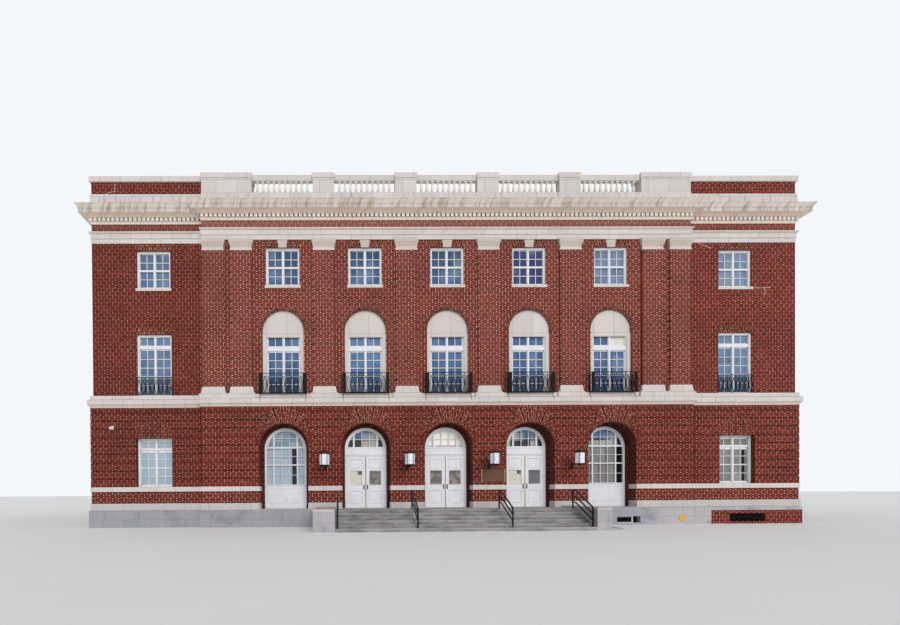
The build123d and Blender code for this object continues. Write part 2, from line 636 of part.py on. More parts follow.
# Dressings of the upper windows
TOP_WINDOW_ROWS = (("front", BAY_X, PAVILION_STEP), *[(side, xs, 0.0) for side, xs in PLAIN_WALLS])
with BuildPart() as window_stones:
    for side, xs, out in TOP_WINDOW_ROWS:
        low = TOP_WINDOW_SILL - SILL_H
        upright(side, out, SILL_IN, xs, TOP_WINDOW_W, low, TOP_WINDOW_SILL)
        upright(side, out + SILL_PROUD, SILL_PROUD, xs, TOP_WINDOW_W + 2 * SILL_SIDE, low, TOP_WINDOW_SILL)
    with BuildSketch(face_plane("front", PAVILION_STEP)) as keys:
        with Locations(*[(x, (TOP_WINDOW_HEAD + Z_ARCHITRAVE) / 2) for x in BAY_X]):
            Trapezoid(KEY_TOP_W, Z_ARCHITRAVE - TOP_WINDOW_HEAD, KEY_ANGLE, rotation=180)
    extrude(keys.sketch, amount=KEY_PROUD)
    with BuildSketch(face_plane("front", PAVILION_STEP - TYMPANUM_BACK)) as tympana:
        radius = FRENCH_ARCH_W / 2 - SEAT
        spring = FRENCH_ARCH_CROWN - FRENCH_ARCH_W / 2
        with Locations(*[(x, spring) for x in BAY_X]):
            Circle(radius)
        with Locations(*[(x, (FRENCH_HEAD + spring) / 2) for x in BAY_X]):
            Rectangle(2 * radius, spring - FRENCH_HEAD)
        with Locations(*[(x, FRENCH_HEAD - radius) for x in BAY_X]):
            Rectangle(2 * radius, 2 * radius, mode=Mode.SUBTRACT)
    extrude(tympana.sketch, amount=-TYMPANUM_T)
window_stones.part.label = "window_stones"
export_step(window_stones.part, "parts/window_stones.step")


def pierced(side, out, depth, xs, width, foot, head, holes):
    """Extrude a row of plates, each cut by holes given as (places, width, foot, head)."""
    with BuildSketch(face_plane(side, out)) as area:
        with Locations(*[(x, (foot + head) / 2) for x in xs]):
            Rectangle(width, head - foot)
        for places, hole_w, low, high in holes:
            with Locations(*[(x, (low + high) / 2) for x in places]):
                Rectangle(hole_w, high - low, mode=Mode.SUBTRACT)
    extrude(area.sketch, amount=-depth)


def framed(side, out, xs, width, foot, head, edge, bar, bar_w):
    """A row of white frames, each cut into lights by a mullion and one cross bar."""
    light = (width - 2 * edge - MULLION) / 2
    centres = [x + hand * (light + MULLION) / 2 for x in xs for hand in (-1, 1)]
    pierced(side, out, SASH_DEPTH, xs, width, foot, head,
            [(centres, light, foot + SASH_W, bar), (centres, light, bar + bar_w, head - SASH_W)])


with BuildPart() as ground_windows:
    for side, xs in PLAIN_WALLS:
        framed(side, GROUND_PROUD - WINDOW_IN, xs, GROUND_WINDOW_W, Z_GROUND, GROUND_WINDOW_HEAD,
               SASH_W, GROUND_WINDOW_HEAD - GROUND_TRANSOM, GROUND_BAR_H)
ground_windows.part.label = "ground_windows"
export_step(ground_windows.part, "parts/ground_windows.step")

with BuildPart() as french_windows:
    framed("front", PAVILION_STEP - CASING_T, BAY_X, FRENCH_ARCH_W, Z_UPPER, FRENCH_HEAD,
           (FRENCH_ARCH_W - FRENCH_W) / 2, FRENCH_BAR, FRENCH_BAR_H)
    for side, xs in PLAIN_WALLS:
        framed(side, -REVEAL, xs, WING_FRENCH_W, Z_UPPER, WING_FRENCH_HEAD, SASH_W, WING_FRENCH_BAR,
               WING_FRENCH_BAR_H)
french_windows.part.label = "french_windows"
export_step(french_windows.part, "parts/french_windows.step")

with BuildPart() as sash_windows:
    for side, xs, out in TOP_WINDOW_ROWS:
        framed(side, out - REVEAL, xs, TOP_WINDOW_W, TOP_WINDOW_SILL, TOP_WINDOW_HEAD, SASH_W,
               (TOP_WINDOW_SILL + TOP_WINDOW_HEAD - MEETING_RAIL_H) / 2, MEETING_RAIL_H)
sash_windows.part.label = "sash_windows"
export_step(sash_windows.part, "parts/sash_windows.step")

# White arched joinery of the ground storey
FAN_RIM = 95.0
FAN_BAR = 90.0


def fan_lights(x, foot):
    """Cut the half round light of a fan above a cross bar, leaving two posts."""
    radius = INNER_W / 2 - FAN_RIM
    with BuildSketch(face_plane("front", FRAME_FRONT)) as light:
        with Locations((x, SPRING)):
            Circle(radius)
        with Locations((x, (foot + SPRING) / 2)):
            Rectangle(2 * radius, SPRING - foot)
        with Locations((x, foot - radius)):
            Rectangle(2 * radius, 2 * radius, mode=Mode.SUBTRACT)
        for side in (-1, 1):
            with Locations((x + side * POST_X, SPRING)):
                Rectangle(POST_W, 4 * radius, mode=Mode.SUBTRACT)
    extrude(light.sketch, amount=-FRAME_T, mode=Mode.SUBTRACT)


POST_X = 640.0
POST_W = 70.0
PANEL_TOP = 2260.0           # foot of the glass in the two arched windows
MEETING = 3330.0
with BuildPart() as door_frames:
    for x in DOOR_X:
        arched(FRAME_FRONT, FRAME_T, x, INNER_W - 2 * SEAT, TRANSOM_FOOT, INNER_CROWN - SEAT)
        fan_lights(x, TRANSOM_TOP)
        for side in (-1, 1):
            near, far = sorted((side * DOOR_W / 2, side * (INNER_W / 2 - SEAT)))
            box(x + near, x + far, -FRAME_FRONT, -FRAME_FRONT + FRAME_T, GROUND_FLOOR, TRANSOM_FOOT)
door_frames.part.label = "door_frames"
export_step(door_frames.part, "parts/door_frames.step")

with BuildPart() as arched_windows:
    for x in WINDOW_BAY_X:
        arched(FRAME_FRONT, FRAME_T, x, INNER_W - 2 * SEAT, GROUND_FLOOR, INNER_CROWN - SEAT)
        fan_lights(x, TRANSOM_TOP + FAN_BAR / 2)
        radius = INNER_W / 2 - FAN_RIM
        side_w = radius - POST_X - POST_W / 2
        for z0, z1 in ((PANEL_TOP, MEETING - SASH_W / 2), (MEETING + SASH_W / 2, TRANSOM_TOP - FAN_BAR / 2)):
            dx = POST_X + POST_W / 2 + side_w / 2
            upright("front", FRAME_FRONT, FRAME_T, [x - dx, x + dx], side_w, z0, z1, Mode.SUBTRACT)
            upright("front", FRAME_FRONT, FRAME_T, [x], 2 * POST_X - POST_W, z0, z1, Mode.SUBTRACT)
arched_windows.part.label = "arched_windows"
export_step(arched_windows.part, "parts/arched_windows.step")

# Glass, behind the frames
with BuildPart() as window_glass:
    for side, xs in PLAIN_WALLS:
        upright(side, GROUND_PROUD - WINDOW_IN - SASH_DEPTH, GLASS_T, xs, GROUND_WINDOW_W, Z_GROUND,
                GROUND_WINDOW_HEAD)
        upright(side, -REVEAL - SASH_DEPTH, GLASS_T, xs, WING_FRENCH_W, Z_UPPER, WING_FRENCH_HEAD)
    for side, xs, out in TOP_WINDOW_ROWS:
        upright(side, out - REVEAL - SASH_DEPTH, GLASS_T, xs, TOP_WINDOW_W, TOP_WINDOW_SILL,
                TOP_WINDOW_HEAD)
    upright("front", PAVILION_STEP - CASING_T - SASH_DEPTH, GLASS_T, BAY_X, FRENCH_ARCH_W, Z_UPPER,
            FRENCH_HEAD)
    for x in BAY_X:
        foot = TRANSOM_FOOT if x in DOOR_X else PANEL_TOP
        arched(FRAME_FRONT - FRAME_T, GLASS_T, x, INNER_W - 2 * SEAT, foot, INNER_CROWN - SEAT)
window_glass.part.label = "window_glass"
export_step(window_glass.part, "parts/window_glass.step")

# Door leaves, their panes and their hinges
LEAF_W = DOOR_W / 2 - LEAF_GAP - LEAF_GAP / 2
LEAF_FOOT = GROUND_FLOOR + 2 * LEAF_GAP
LEAF_FRONT = FRAME_FRONT
GLASS_W = LEAF_W - 2 * LEAF_STILE
LEAVES = [(f"door_{place}_{hand}_leaf", x, side)
          for place, x in zip(("left", "middle", "right"), DOOR_X)
          for hand, side in (("left", -1), ("right", 1))]


def leaf_centre(x, side):
    return x + side * (LEAF_GAP / 2 + LEAF_W / 2)


for name, x, side in LEAVES:
    centre = leaf_centre(x, side)
    with BuildPart() as leaf:
        upright("front", LEAF_FRONT, LEAF_T, [centre], LEAF_W, LEAF_FOOT, LEAF_FOOT + LEAF_H)
        upright("front", LEAF_FRONT, LEAF_T, [centre], GLASS_W, LEAF_FOOT + LEAF_GLASS_Z,
                LEAF_FOOT + LEAF_GLASS_Z + LEAF_GLASS_H, Mode.SUBTRACT)
        upright("front", LEAF_FRONT, PANEL_SUNK, [centre], GLASS_W, LEAF_FOOT + BOTTOM_RAIL,
                LEAF_FOOT + LEAF_GLASS_Z - LOCK_RAIL, Mode.SUBTRACT)
        upright("front", LEAF_FRONT, PANEL_SUNK, [centre], GLASS_W,
                LEAF_FOOT + LEAF_GLASS_Z + LEAF_GLASS_H + CROSS_RAIL, LEAF_FOOT + LEAF_H - TOP_RAIL,
                Mode.SUBTRACT)
    leaf.part.label = name
    export_step(leaf.part, f"parts/{name}.step")
    with BuildPart() as pane:
        upright("front", LEAF_FRONT - LEAF_T / 2 + GLASS_T / 2, GLASS_T, [centre], GLASS_W - 2 * SEAT,
                LEAF_FOOT + LEAF_GLASS_Z + SEAT, LEAF_FOOT + LEAF_GLASS_Z + LEAF_GLASS_H - SEAT)
    pane.part.label = name.replace("leaf", "pane")
    export_step(pane.part, f"parts/{name.replace('leaf', 'pane')}.step")

HINGE_OUT = LEAF_FRONT + HINGE_R + SEAT
HINGE_Z = [LEAF_FOOT + HINGE_END, LEAF_FOOT + LEAF_H / 2, LEAF_FOOT + LEAF_H - HINGE_END]
with BuildPart() as door_hinges:
    for name, x, side in LEAVES:
        axis_x = x + side * (DOOR_W / 2 - LEAF_GAP)
        for z in HINGE_Z:
            with Locations((axis_x, -HINGE_OUT, z)):
                Cylinder(HINGE_R, HINGE_H)
            near, far = sorted((axis_x + side * LEAF_GAP, axis_x + side * HINGE_PLATE))
            box(near, far, -HINGE_OUT - HINGE_PLATE_T, -FRAME_FRONT, z - HINGE_H / 2, z + HINGE_H / 2)
door_hinges.part.label = "door_hinges"
export_step(door_hinges.part, "parts/door_hinges.step")

# Iron balconies: a bar screen with returns and a floor plate, and flat screens on the wings
def bar_screen(out, xs, width, low, high, bars):
    """A row of screens, each a plate cut through between its bars, below and above a cross rail."""
    gap = (width - bars * BAR) / (bars - 1)
    centres = [x - width / 2 + BAR + gap / 2 + i * (gap + BAR) for x in xs for i in range(bars - 1)]
    middle = high - MID_RAIL_DROP
    pierced("front", out, BAR, xs, width, low, high,
            [(centres, gap, low + BAR, middle - BAR), (centres, gap, middle, high - BAR)])


with BuildPart() as balconies:
    high = Z_UPPER + BALCONY_H
    bar_screen(PAVILION_STEP + BALCONY_OUT, BAY_X, BALCONY_W, Z_UPPER, high, BALCONY_BARS)
    ends = [x + hand * (BALCONY_W - BAR) / 2 for x in BAY_X for hand in (-1, 1)]
    for z in (Z_UPPER, high - MID_RAIL_DROP - BAR, high - BAR):
        upright("front", PAVILION_STEP + BALCONY_OUT, BALCONY_OUT, ends, BAR, z, z + BAR)
    upright("front", PAVILION_STEP + BALCONY_OUT, BALCONY_OUT, BAY_X, BALCONY_W, Z_UPPER, Z_UPPER + BAR)
    screen_w = WING_FRENCH_W + 2 * SCREEN_SIDE
    screen_out = BAR + SCREEN_SIDE
    screen_foot, screen_top = Z_UPPER + SCREEN_LIFT, high - SCREEN_DROP
    bar_screen(screen_out, WING_X, screen_w, screen_foot, screen_top, SCREEN_BARS)
    ends = [x + hand * (screen_w - SCREEN_SIDE) / 2 for x in WING_X for hand in (-1, 1)]
    for z in (screen_foot, screen_top - BAR):
        upright("front", screen_out, screen_out, ends, SCREEN_SIDE, z, z + BAR)
balconies.part.label = "balconies"
export_step(balconies.part, "parts/balconies.step")

# Steps between cheek blocks
with BuildPart() as entrance_steps:
    with BuildSketch(Plane(origin=(-STEPS_HALF, 0, 0), x_dir=(0, -1, 0), z_dir=(-1, 0, 0))) as flight:
        with BuildLine():
            points = [(FOUNDATION_FACE, 0), (FOUNDATION_FACE, LANDING_TOP),
                      (FOUNDATION_FACE + LANDING, LANDING_TOP)]
            for i in range(1, RISERS):
                out = FOUNDATION_FACE + LANDING + (i - 1) * TREAD
                points += [(out, LANDING_TOP - i * RISER), (out + TREAD, LANDING_TOP - i * RISER)]
            points += [(STEPS_FRONT, 0)]
            Polyline(*points, close=True)
        make_face()
    extrude(flight.sketch, amount=-2 * STEPS_HALF)
entrance_steps.part.label = "entrance_steps"
export_step(entrance_steps.part, "parts/entrance_steps.step")

with BuildPart() as cheek_blocks:
    box(-STEPS_HALF - LEFT_CHEEK_W, -STEPS_HALF, -STEPS_FRONT, -FOUNDATION_FACE, 0, CHEEK_TOP)
    right = STEPS_HALF + RIGHT_CHEEK_W
    box(STEPS_HALF, right, -STEPS_FRONT, -FOUNDATION_FACE, 0, CHEEK_TOP)
    box(right, right + KERB_W, -STEPS_FRONT, -STEPS_FRONT + LANDING, 0, KERB_H)
cheek_blocks.part.label = "cheek_blocks"
export_step(cheek_blocks.part, "parts/cheek_blocks.step")

# Pipe handrails: each has three rails between two posts
UPPER_POST = FOUNDATION_FACE + LANDING - 100.0
LOWER_POST = STEPS_FRONT - TREAD / 2
with BuildPart() as handrails:
    for x in (-OUTER_RAIL_X, -INNER_RAIL_X, INNER_RAIL_X, OUTER_RAIL_X):
        upright_plane = Plane(origin=(x, 0, 0), x_dir=(0, -1, 0), z_dir=(-1, 0, 0))
        top, low = LANDING_TOP + RAIL_TOP, RISER + RAIL_TOP
        with BuildLine(upright_plane) as bent:
            FilletPolyline((UPPER_POST, LANDING_TOP), (UPPER_POST, top), (UPPER_POST + RAIL_LEVEL, top),
                           (LOWER_POST, low), (LOWER_POST, RISER), radius=RAIL_BEND)
        with BuildSketch(Plane.XY.offset(LANDING_TOP)) as pipe:
            with Locations((x, -UPPER_POST)):
                RegularPolygon(RAIL_R, RAIL_SIDES)
        sweep(pipe.sketch, path=bent.wires()[0])
        for row in range(1, RAIL_ROWS):
            drop = row * RAIL_DROP
            end = Plane(origin=(x, -UPPER_POST, top - drop), x_dir=(1, 0, 0), z_dir=(0, -1, 0))
            with BuildSketch(end) as cut:
                RegularPolygon(RAIL_R, RAIL_SIDES)
            with BuildLine(upright_plane) as straight:
                Polyline((UPPER_POST, top - drop), (UPPER_POST + RAIL_LEVEL, top - drop),
                         (LOWER_POST, low - drop))
            sweep(cut.sketch, path=straight.wires()[0], transition=Transition.RIGHT)
handrails.part.label = "handrails"
export_step(handrails.part, "parts/handrails.step")

# Six-sided lanterns on brackets
with BuildPart() as lanterns:
    for x in PILASTER_X[2:-2]:
        y = -GROUND_FACE - LANTERN_OUT
        with BuildSketch(Plane.XY.offset(LANTERN_FOOT)) as hexagon:
            with Locations((x, y)):
                RegularPolygon(LANTERN_R, 6)
        extrude(hexagon.sketch, amount=LANTERN_H)
        with BuildSketch(Plane.XY.offset(LANTERN_FOOT + LANTERN_H)) as low_cap:
            with Locations((x, y)):
                RegularPolygon(LANTERN_R, 6)
        with BuildSketch(Plane.XY.offset(LANTERN_FOOT + LANTERN_H + LANTERN_CAP_H)) as high_cap:
            with Locations((x, y)):
                RegularPolygon(LANTERN_KNOB_R, 6)
        loft([low_cap.sketch, high_cap.sketch])
        for foot, height in ((LANTERN_FOOT - LANTERN_PENDANT_H, LANTERN_PENDANT_H),
                             (LANTERN_FOOT + LANTERN_H + LANTERN_CAP_H, LANTERN_FINIAL_H)):
            with Locations((x, y, foot + height / 2)):
                Cylinder(LANTERN_KNOB_R, height)
        box(x - BRACKET / 2, x + BRACKET / 2, y, -GROUND_FACE, LANTERN_FOOT - BRACKET, LANTERN_FOOT)
        box(x - WALL_PLATE / 2, x + WALL_PLATE / 2, -GROUND_FACE - BRACKET, -GROUND_FACE,
            LANTERN_FOOT - WALL_PLATE, LANTERN_FOOT + WALL_PLATE)
lanterns.part.label = "lanterns"
export_step(lanterns.part, "parts/lanterns.step")
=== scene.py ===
"""Looks for a three-storey brick courthouse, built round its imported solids, in metres.

Wall places are given as (along, up, out) of one side of the building, seen from outside.
"""
import json
import math

import bpy
import numpy as np
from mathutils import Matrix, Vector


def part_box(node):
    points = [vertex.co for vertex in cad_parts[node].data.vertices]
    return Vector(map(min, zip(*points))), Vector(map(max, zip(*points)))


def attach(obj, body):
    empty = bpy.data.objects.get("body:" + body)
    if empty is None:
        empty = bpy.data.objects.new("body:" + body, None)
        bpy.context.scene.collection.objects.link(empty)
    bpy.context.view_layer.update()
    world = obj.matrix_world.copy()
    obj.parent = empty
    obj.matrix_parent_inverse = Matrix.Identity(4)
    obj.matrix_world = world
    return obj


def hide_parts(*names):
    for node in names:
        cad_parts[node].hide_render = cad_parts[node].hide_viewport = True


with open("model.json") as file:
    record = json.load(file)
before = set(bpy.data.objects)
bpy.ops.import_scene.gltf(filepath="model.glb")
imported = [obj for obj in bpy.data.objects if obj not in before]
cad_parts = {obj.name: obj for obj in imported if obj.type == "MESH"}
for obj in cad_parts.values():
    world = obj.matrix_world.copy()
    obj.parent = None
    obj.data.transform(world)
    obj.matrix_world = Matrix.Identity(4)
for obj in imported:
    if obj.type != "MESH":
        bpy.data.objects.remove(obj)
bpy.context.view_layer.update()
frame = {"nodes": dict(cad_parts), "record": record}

bl_info = {
    "name": "Brick courthouse",
    "version": (1, 0, 0),
    "blender": (4, 5, 0),
    "location": "3D View > Sidebar > Courthouse",
    "description": "Brickwork, stone trim, joinery and ironwork of a courthouse",
    "category": "Add Mesh",
}

# Plan and heights
WING_HALF, MIDDLE_HALF, DEPTH = 18.97, 13.0, 25.0
MIDDLE_OUT = 0.30                 # middle of the front, before the wings
GROUND_OUT = 0.09                 # ground storey brick, before the upper brick
ENTRY_OUT = MIDDLE_OUT + GROUND_OUT
LINING = 0.59                     # depth at which a wall's inner face begins
LEDGE_TOP = 2.17
BELT_FOOT, BELT_TOP = 6.40, 7.05
ARCHITRAVE_FOOT = 15.20
CORNICE_FOOT, CORNICE_TOP = (corner.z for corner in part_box("cornice"))
ENTABLATURE_OUT = -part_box("brick_frieze")[0].y

# Bricks
COURSE = 0.0635                   # one course with its joint
UNIT = 0.311                      # a stretcher and a header with their joints
HEADER = 0.335                    # share of the unit that the header takes
BAND = 7 * COURSE                 # six courses and a recessed one
SUNK = -0.02                      # how far back pieces reach into the wall behind them

# Openings
BAY = 4.37
BAY_X = BAY * np.arange(-2, 3)
PIER_X = BAY * (np.arange(6) - 2.5)
WING_X = np.array([-15.69, 15.69])
ARCH_R, ARCH_SPRING = 1.285, 4.205
FRAME_R = ARCH_R - 0.15
FRAME_OUT = -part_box("door_frames")[0].y
GROUND_WINDOW = (1.90, LEDGE_TOP, 4.77)       # width, foot and head
TALL_WINDOW = (1.84, BELT_TOP, 10.33)
ARCHED_WINDOW = (1.84, BELT_TOP, 10.28)
TOP_WINDOW = (1.78, 12.80, 14.80)
HOOD_R, HOOD_SPRING = 1.095, 10.405           # round heads of the tall windows

# Rows of places: side of the building, places along it, and how far out that wall stands
SIDES = (("front", WING_X, 0.0), ("left", BAY_X, 0.0), ("right", BAY_X, 0.0),
         ("back", np.concatenate([BAY_X, WING_X]), 0.0))
MIDDLE_ROW = (("front", BAY_X, MIDDLE_OUT),)
TOP_ROWS = (*MIDDLE_ROW, *SIDES)
GROUND_ROWS = [(side, places, GROUND_OUT) for side, places, _ in SIDES]
DOORS = [(f"door_{place}_{hand}", side) for place in ("left", "middle", "right")
         for hand, side in (("left", -1), ("right", 1))]


def colour(name, description, default):
    """A colour for the panel."""
    return bpy.props.FloatVectorProperty(name=name, description=description, size=3, default=default,
                                         subtype="COLOR")


class COURTHOUSE_PG_brick(bpy.types.PropertyGroup):
    """Sizes and colours of the brickwork."""
    proud: bpy.props.FloatProperty(name="Band depth", description="How far the bands stand out",
                                   default=0.022, min=0.0, unit="LENGTH")
    joint: bpy.props.FloatProperty(name="Joint", description="Half width of a head joint",
                                   default=0.009, min=0.001, unit="LENGTH")
    red: colour("Brick", "Main brick colour", (0.19, 0.022, 0.013))
    dark: colour("Dark brick", "Burnt brick colour", (0.075, 0.010, 0.008))
    bright: colour("Bright brick", "Orange brick colour", (0.36, 0.070, 0.035))
    mortar: colour("Mortar", "Head joint colour", (0.90, 0.76, 0.66))


class COURTHOUSE_PG_trim(bpy.types.PropertyGroup):
    """Colours of the stone, paint, glass and iron."""
    stone: colour("Stone", "Clean trim stone", (0.70, 0.645, 0.62))
    soot: colour("Soot", "Dark stain on stone", (0.20, 0.17, 0.14))
    ochre: colour("Ochre", "Warm stain under ledges", (0.74, 0.53, 0.37))
    paint: colour("Paint", "White joinery paint", (0.80, 0.81, 0.845))
    sky: colour("Glass", "Sky seen in the glass", (0.060, 0.130, 0.28))
    iron: colour("Iron", "Black iron paint", (0.008, 0.008, 0.009))


class COURTHOUSE_PG_stage(bpy.types.PropertyGroup):
    """Light and camera."""
    sky: bpy.props.FloatProperty(name="Sky light", description="Strength of the even light",
                                 default=0.60, min=0.0)
    lamp: bpy.props.FloatProperty(name="Lamp", description="Strength of the soft lamp", default=1.45, min=0.0)
    lens: bpy.props.FloatProperty(name="Lens", description="Focal length", default=17.626, unit="CAMERA")


# Shader maths
class Wire:
    """A socket that adds Math nodes when it is used in an expression."""

    def __init__(self, tree, socket):
        self.tree, self.socket = tree, socket

    def math(self, operation, *values):
        node = self.tree.nodes.new("ShaderNodeMath")
        node.operation = operation
        for slot, value in zip(node.inputs, (self, *values)):
            connect(self.tree, slot, value)
        return Wire(self.tree, node.outputs[0])

    def __add__(self, other):
        return self.math("ADD", other)

    __radd__ = __add__

    def __mul__(self, other):
        return self.math("MULTIPLY", other)

    __rmul__ = __mul__

    def __sub__(self, other):
        return self.math("SUBTRACT", other)

    def __rsub__(self, other):
        return self * -1 + other

    def __truediv__(self, other):
        return self.math("DIVIDE", other)

    def __mod__(self, other):
        return self.math("FLOORED_MODULO", other)

    def __lt__(self, other):
        return self.math("LESS_THAN", other)

    def __gt__(self, other):
        return self.math("GREATER_THAN", other)

    def __abs__(self):
        return self.math("ABSOLUTE")

    def floor(self):
        return self.math("FLOOR")

    def least(self, other):
        return self.math("MINIMUM", other)

    def most(self, other):
        return self.math("MAXIMUM", other)


def connect(tree, slot, value):
    """Links a wire to a socket, or sets the socket's own value."""
    if isinstance(value, Wire):
        tree.links.new(value.socket, slot)
    elif hasattr(value, "__len__"):
        slot.default_value = (*value, 1.0)[:len(slot.default_value)]
    else:
        slot.default_value = value


class Finish:
    """The node tree of a material or the world, built from expressions."""

    def __init__(self, owner):
        self.owner = owner
        owner.use_nodes = True
        self.tree = owner.node_tree
        self.tree.nodes.clear()

    def node(self, kind, settings, sockets, output=0):
        """Adds a node: its settings first, then the values or links of its sockets."""
        node = self.tree.nodes.new(kind)
        for key, value in settings.items():
            setattr(node, key, value)
        for key, value in sockets.items():
            connect(self.tree, named(node.inputs, key), value)
        if not len(node.outputs):
            return None
        return Wire(self.tree, node.outputs[0] if output == 0 else named(node.outputs, output))

    def parts(self, vector):
        """The three numbers of a vector."""
        first = self.node("ShaderNodeSeparateXYZ", {}, {"Vector": vector})
        return [Wire(self.tree, s) for s in first.socket.node.outputs]

    def place(self):
        return self.parts(self.node("ShaderNodeTexCoord", {}, {}, "Object"))

    def facing(self):
        return self.parts(self.node("ShaderNodeTexCoord", {}, {}, "Normal"))

    def vector(self, x, y, z=0.0):
        return self.node("ShaderNodeCombineXYZ", {}, {"X": x, "Y": y, "Z": z})

    def noise(self, vector, scale, detail=3.0, rough=0.55):
        return self.node("ShaderNodeTexNoise", {},
                         {"Vector": vector, "Scale": scale, "Detail": detail, "Roughness": rough})

    def grain(self, scale, detail=3.0, rough=0.55):
        """Noise at the surface's own place."""
        return self.noise(self.node("ShaderNodeTexCoord", {}, {}, "Object"), scale, detail, rough)

    def chance(self, x, y, z=0.0):
        """A different number from 0 to 1 for each whole-number place."""
        return self.node("ShaderNodeTexWhiteNoise", {"noise_dimensions": "3D"},
                         {"Vector": self.vector(x, y, z)})

    def ease(self, value, low, high, first=0.0, last=1.0):
        """Runs smoothly from first to last as the value goes from low to high."""
        return self.node("ShaderNodeMapRange", {"interpolation_type": "SMOOTHSTEP"},
                         {"Value": value, "From Min": low, "From Max": high, "To Min": first,
                          "To Max": last})

    def mix(self, first, second, share):
        return self.node("ShaderNodeMix", {"data_type": "RGBA"},
                         {"A_Color": first, "B_Color": second, "Factor_Float": share}, "Result_Color")

    def layers(self, color, *tints):
        """A colour with each (colour, share) laid over it in turn."""
        for tint, share in tints:
            color = self.mix(color, tint, share)
        return color

    def surface(self, color, roughness, height=None, depth=0.002, extra=None):
        """Joins the colour, roughness and relief to the surface shader."""
        sockets = {"Base Color": color, "Roughness": roughness, **(extra or {})}
        if height is not None:
            sockets["Normal"] = self.node("ShaderNodeBump", {},
                                          {"Height": height, "Distance": depth, "Strength": 1.0})
        shader = self.node("ShaderNodeBsdfPrincipled", {}, sockets)
        self.node("ShaderNodeOutputMaterial", {}, {"Surface": shader})
        return self.owner


def named(sockets, key):
    """The first socket with that name or identifier."""
    return next(s for s in sockets if key in (s.identifier, s.name))


def material(name):
    return Finish(bpy.data.materials.new(name))


def within(value, low, high):
    """One where the value lies between two numbers."""
    return (value > low) * (value < high)


def faded(color, share):
    return tuple(c * share for c in color)


def across(value):
    """How far a number is from the nearest whole number."""
    part = value - value.floor()
    return part.least(1 - part)


# Finishes
FACE_SHINE = {"Specular IOR Level": 0.12}
GLASS_SHINE = {"Specular IOR Level": 0.4}
BED_RED, BED_PALE = (0.20, 0.055, 0.040), (0.40, 0.16, 0.125)


def brick_bond(m, along, up, grime_and_shade, bed, bed_half=0.0050, fleck=1.0):
    """Flemish bond: the row is the height over the course, every other row slides by half a unit, and
    a brick's number comes from its unit, its row and whether it is the header. The head joint before
    each header is palest, in two courses of every three, and bed joints are muted."""
    look = bpy.context.scene.courthouse_brick
    header_tint, pit, grime_and_shade_tint = (0.72, 0.46, 0.38), (0.02, 0.01, 0.01), (0.03, 0.012, 0.010)
    row = (up / COURSE).floor()
    unit = along / UNIT + (row % 2) * 0.5
    cell = unit.floor()
    part = unit - cell
    header = part < HEADER
    edge = part.least(1 - part)
    beside = edge.least(abs(part - HEADER)) * UNIT
    above = across(up / COURSE) * COURSE
    bed_joint = m.ease(above, bed_half * 0.7, bed_half * 1.4, 1.0, 0.0)
    luck = m.chance(cell * 2 + header, row)
    pale = (edge < HEADER / 2) * (row % 3 < 1.5) * (m.chance(cell, row, 7.0) * 0.5 + 0.75)
    half = look.joint * (pale * 0.75 + 0.45)
    head_joint = m.ease(beside - half, -0.003, 0.003, 1.0, 0.0)
    grain = m.noise(m.vector(along, up), 55.0, 4.0, 0.7)
    color = m.layers(look.red,
                     (look.dark, m.ease(luck, 0.75, 0.95, 0.0, 0.80)),
                     (look.bright, m.ease(luck, 0.25, 0.05, 0.0, 0.6)),
                     (header_tint, header * (luck * 0.10 + 0.05) * fleck),
                     (pit, m.ease(grain, 0.62, 0.35, 0.0, 0.30)),
                     (bed, bed_joint * 0.8),
                     (look.mortar, head_joint * (pale * 0.9).least(1.0) * fleck),
                     (grime_and_shade_tint, grime_and_shade))
    relief = 1 - head_joint.most(bed_joint) + grain * 0.25
    return color, m.ease(grain, 0.3, 0.7, 0.78, 0.95), relief


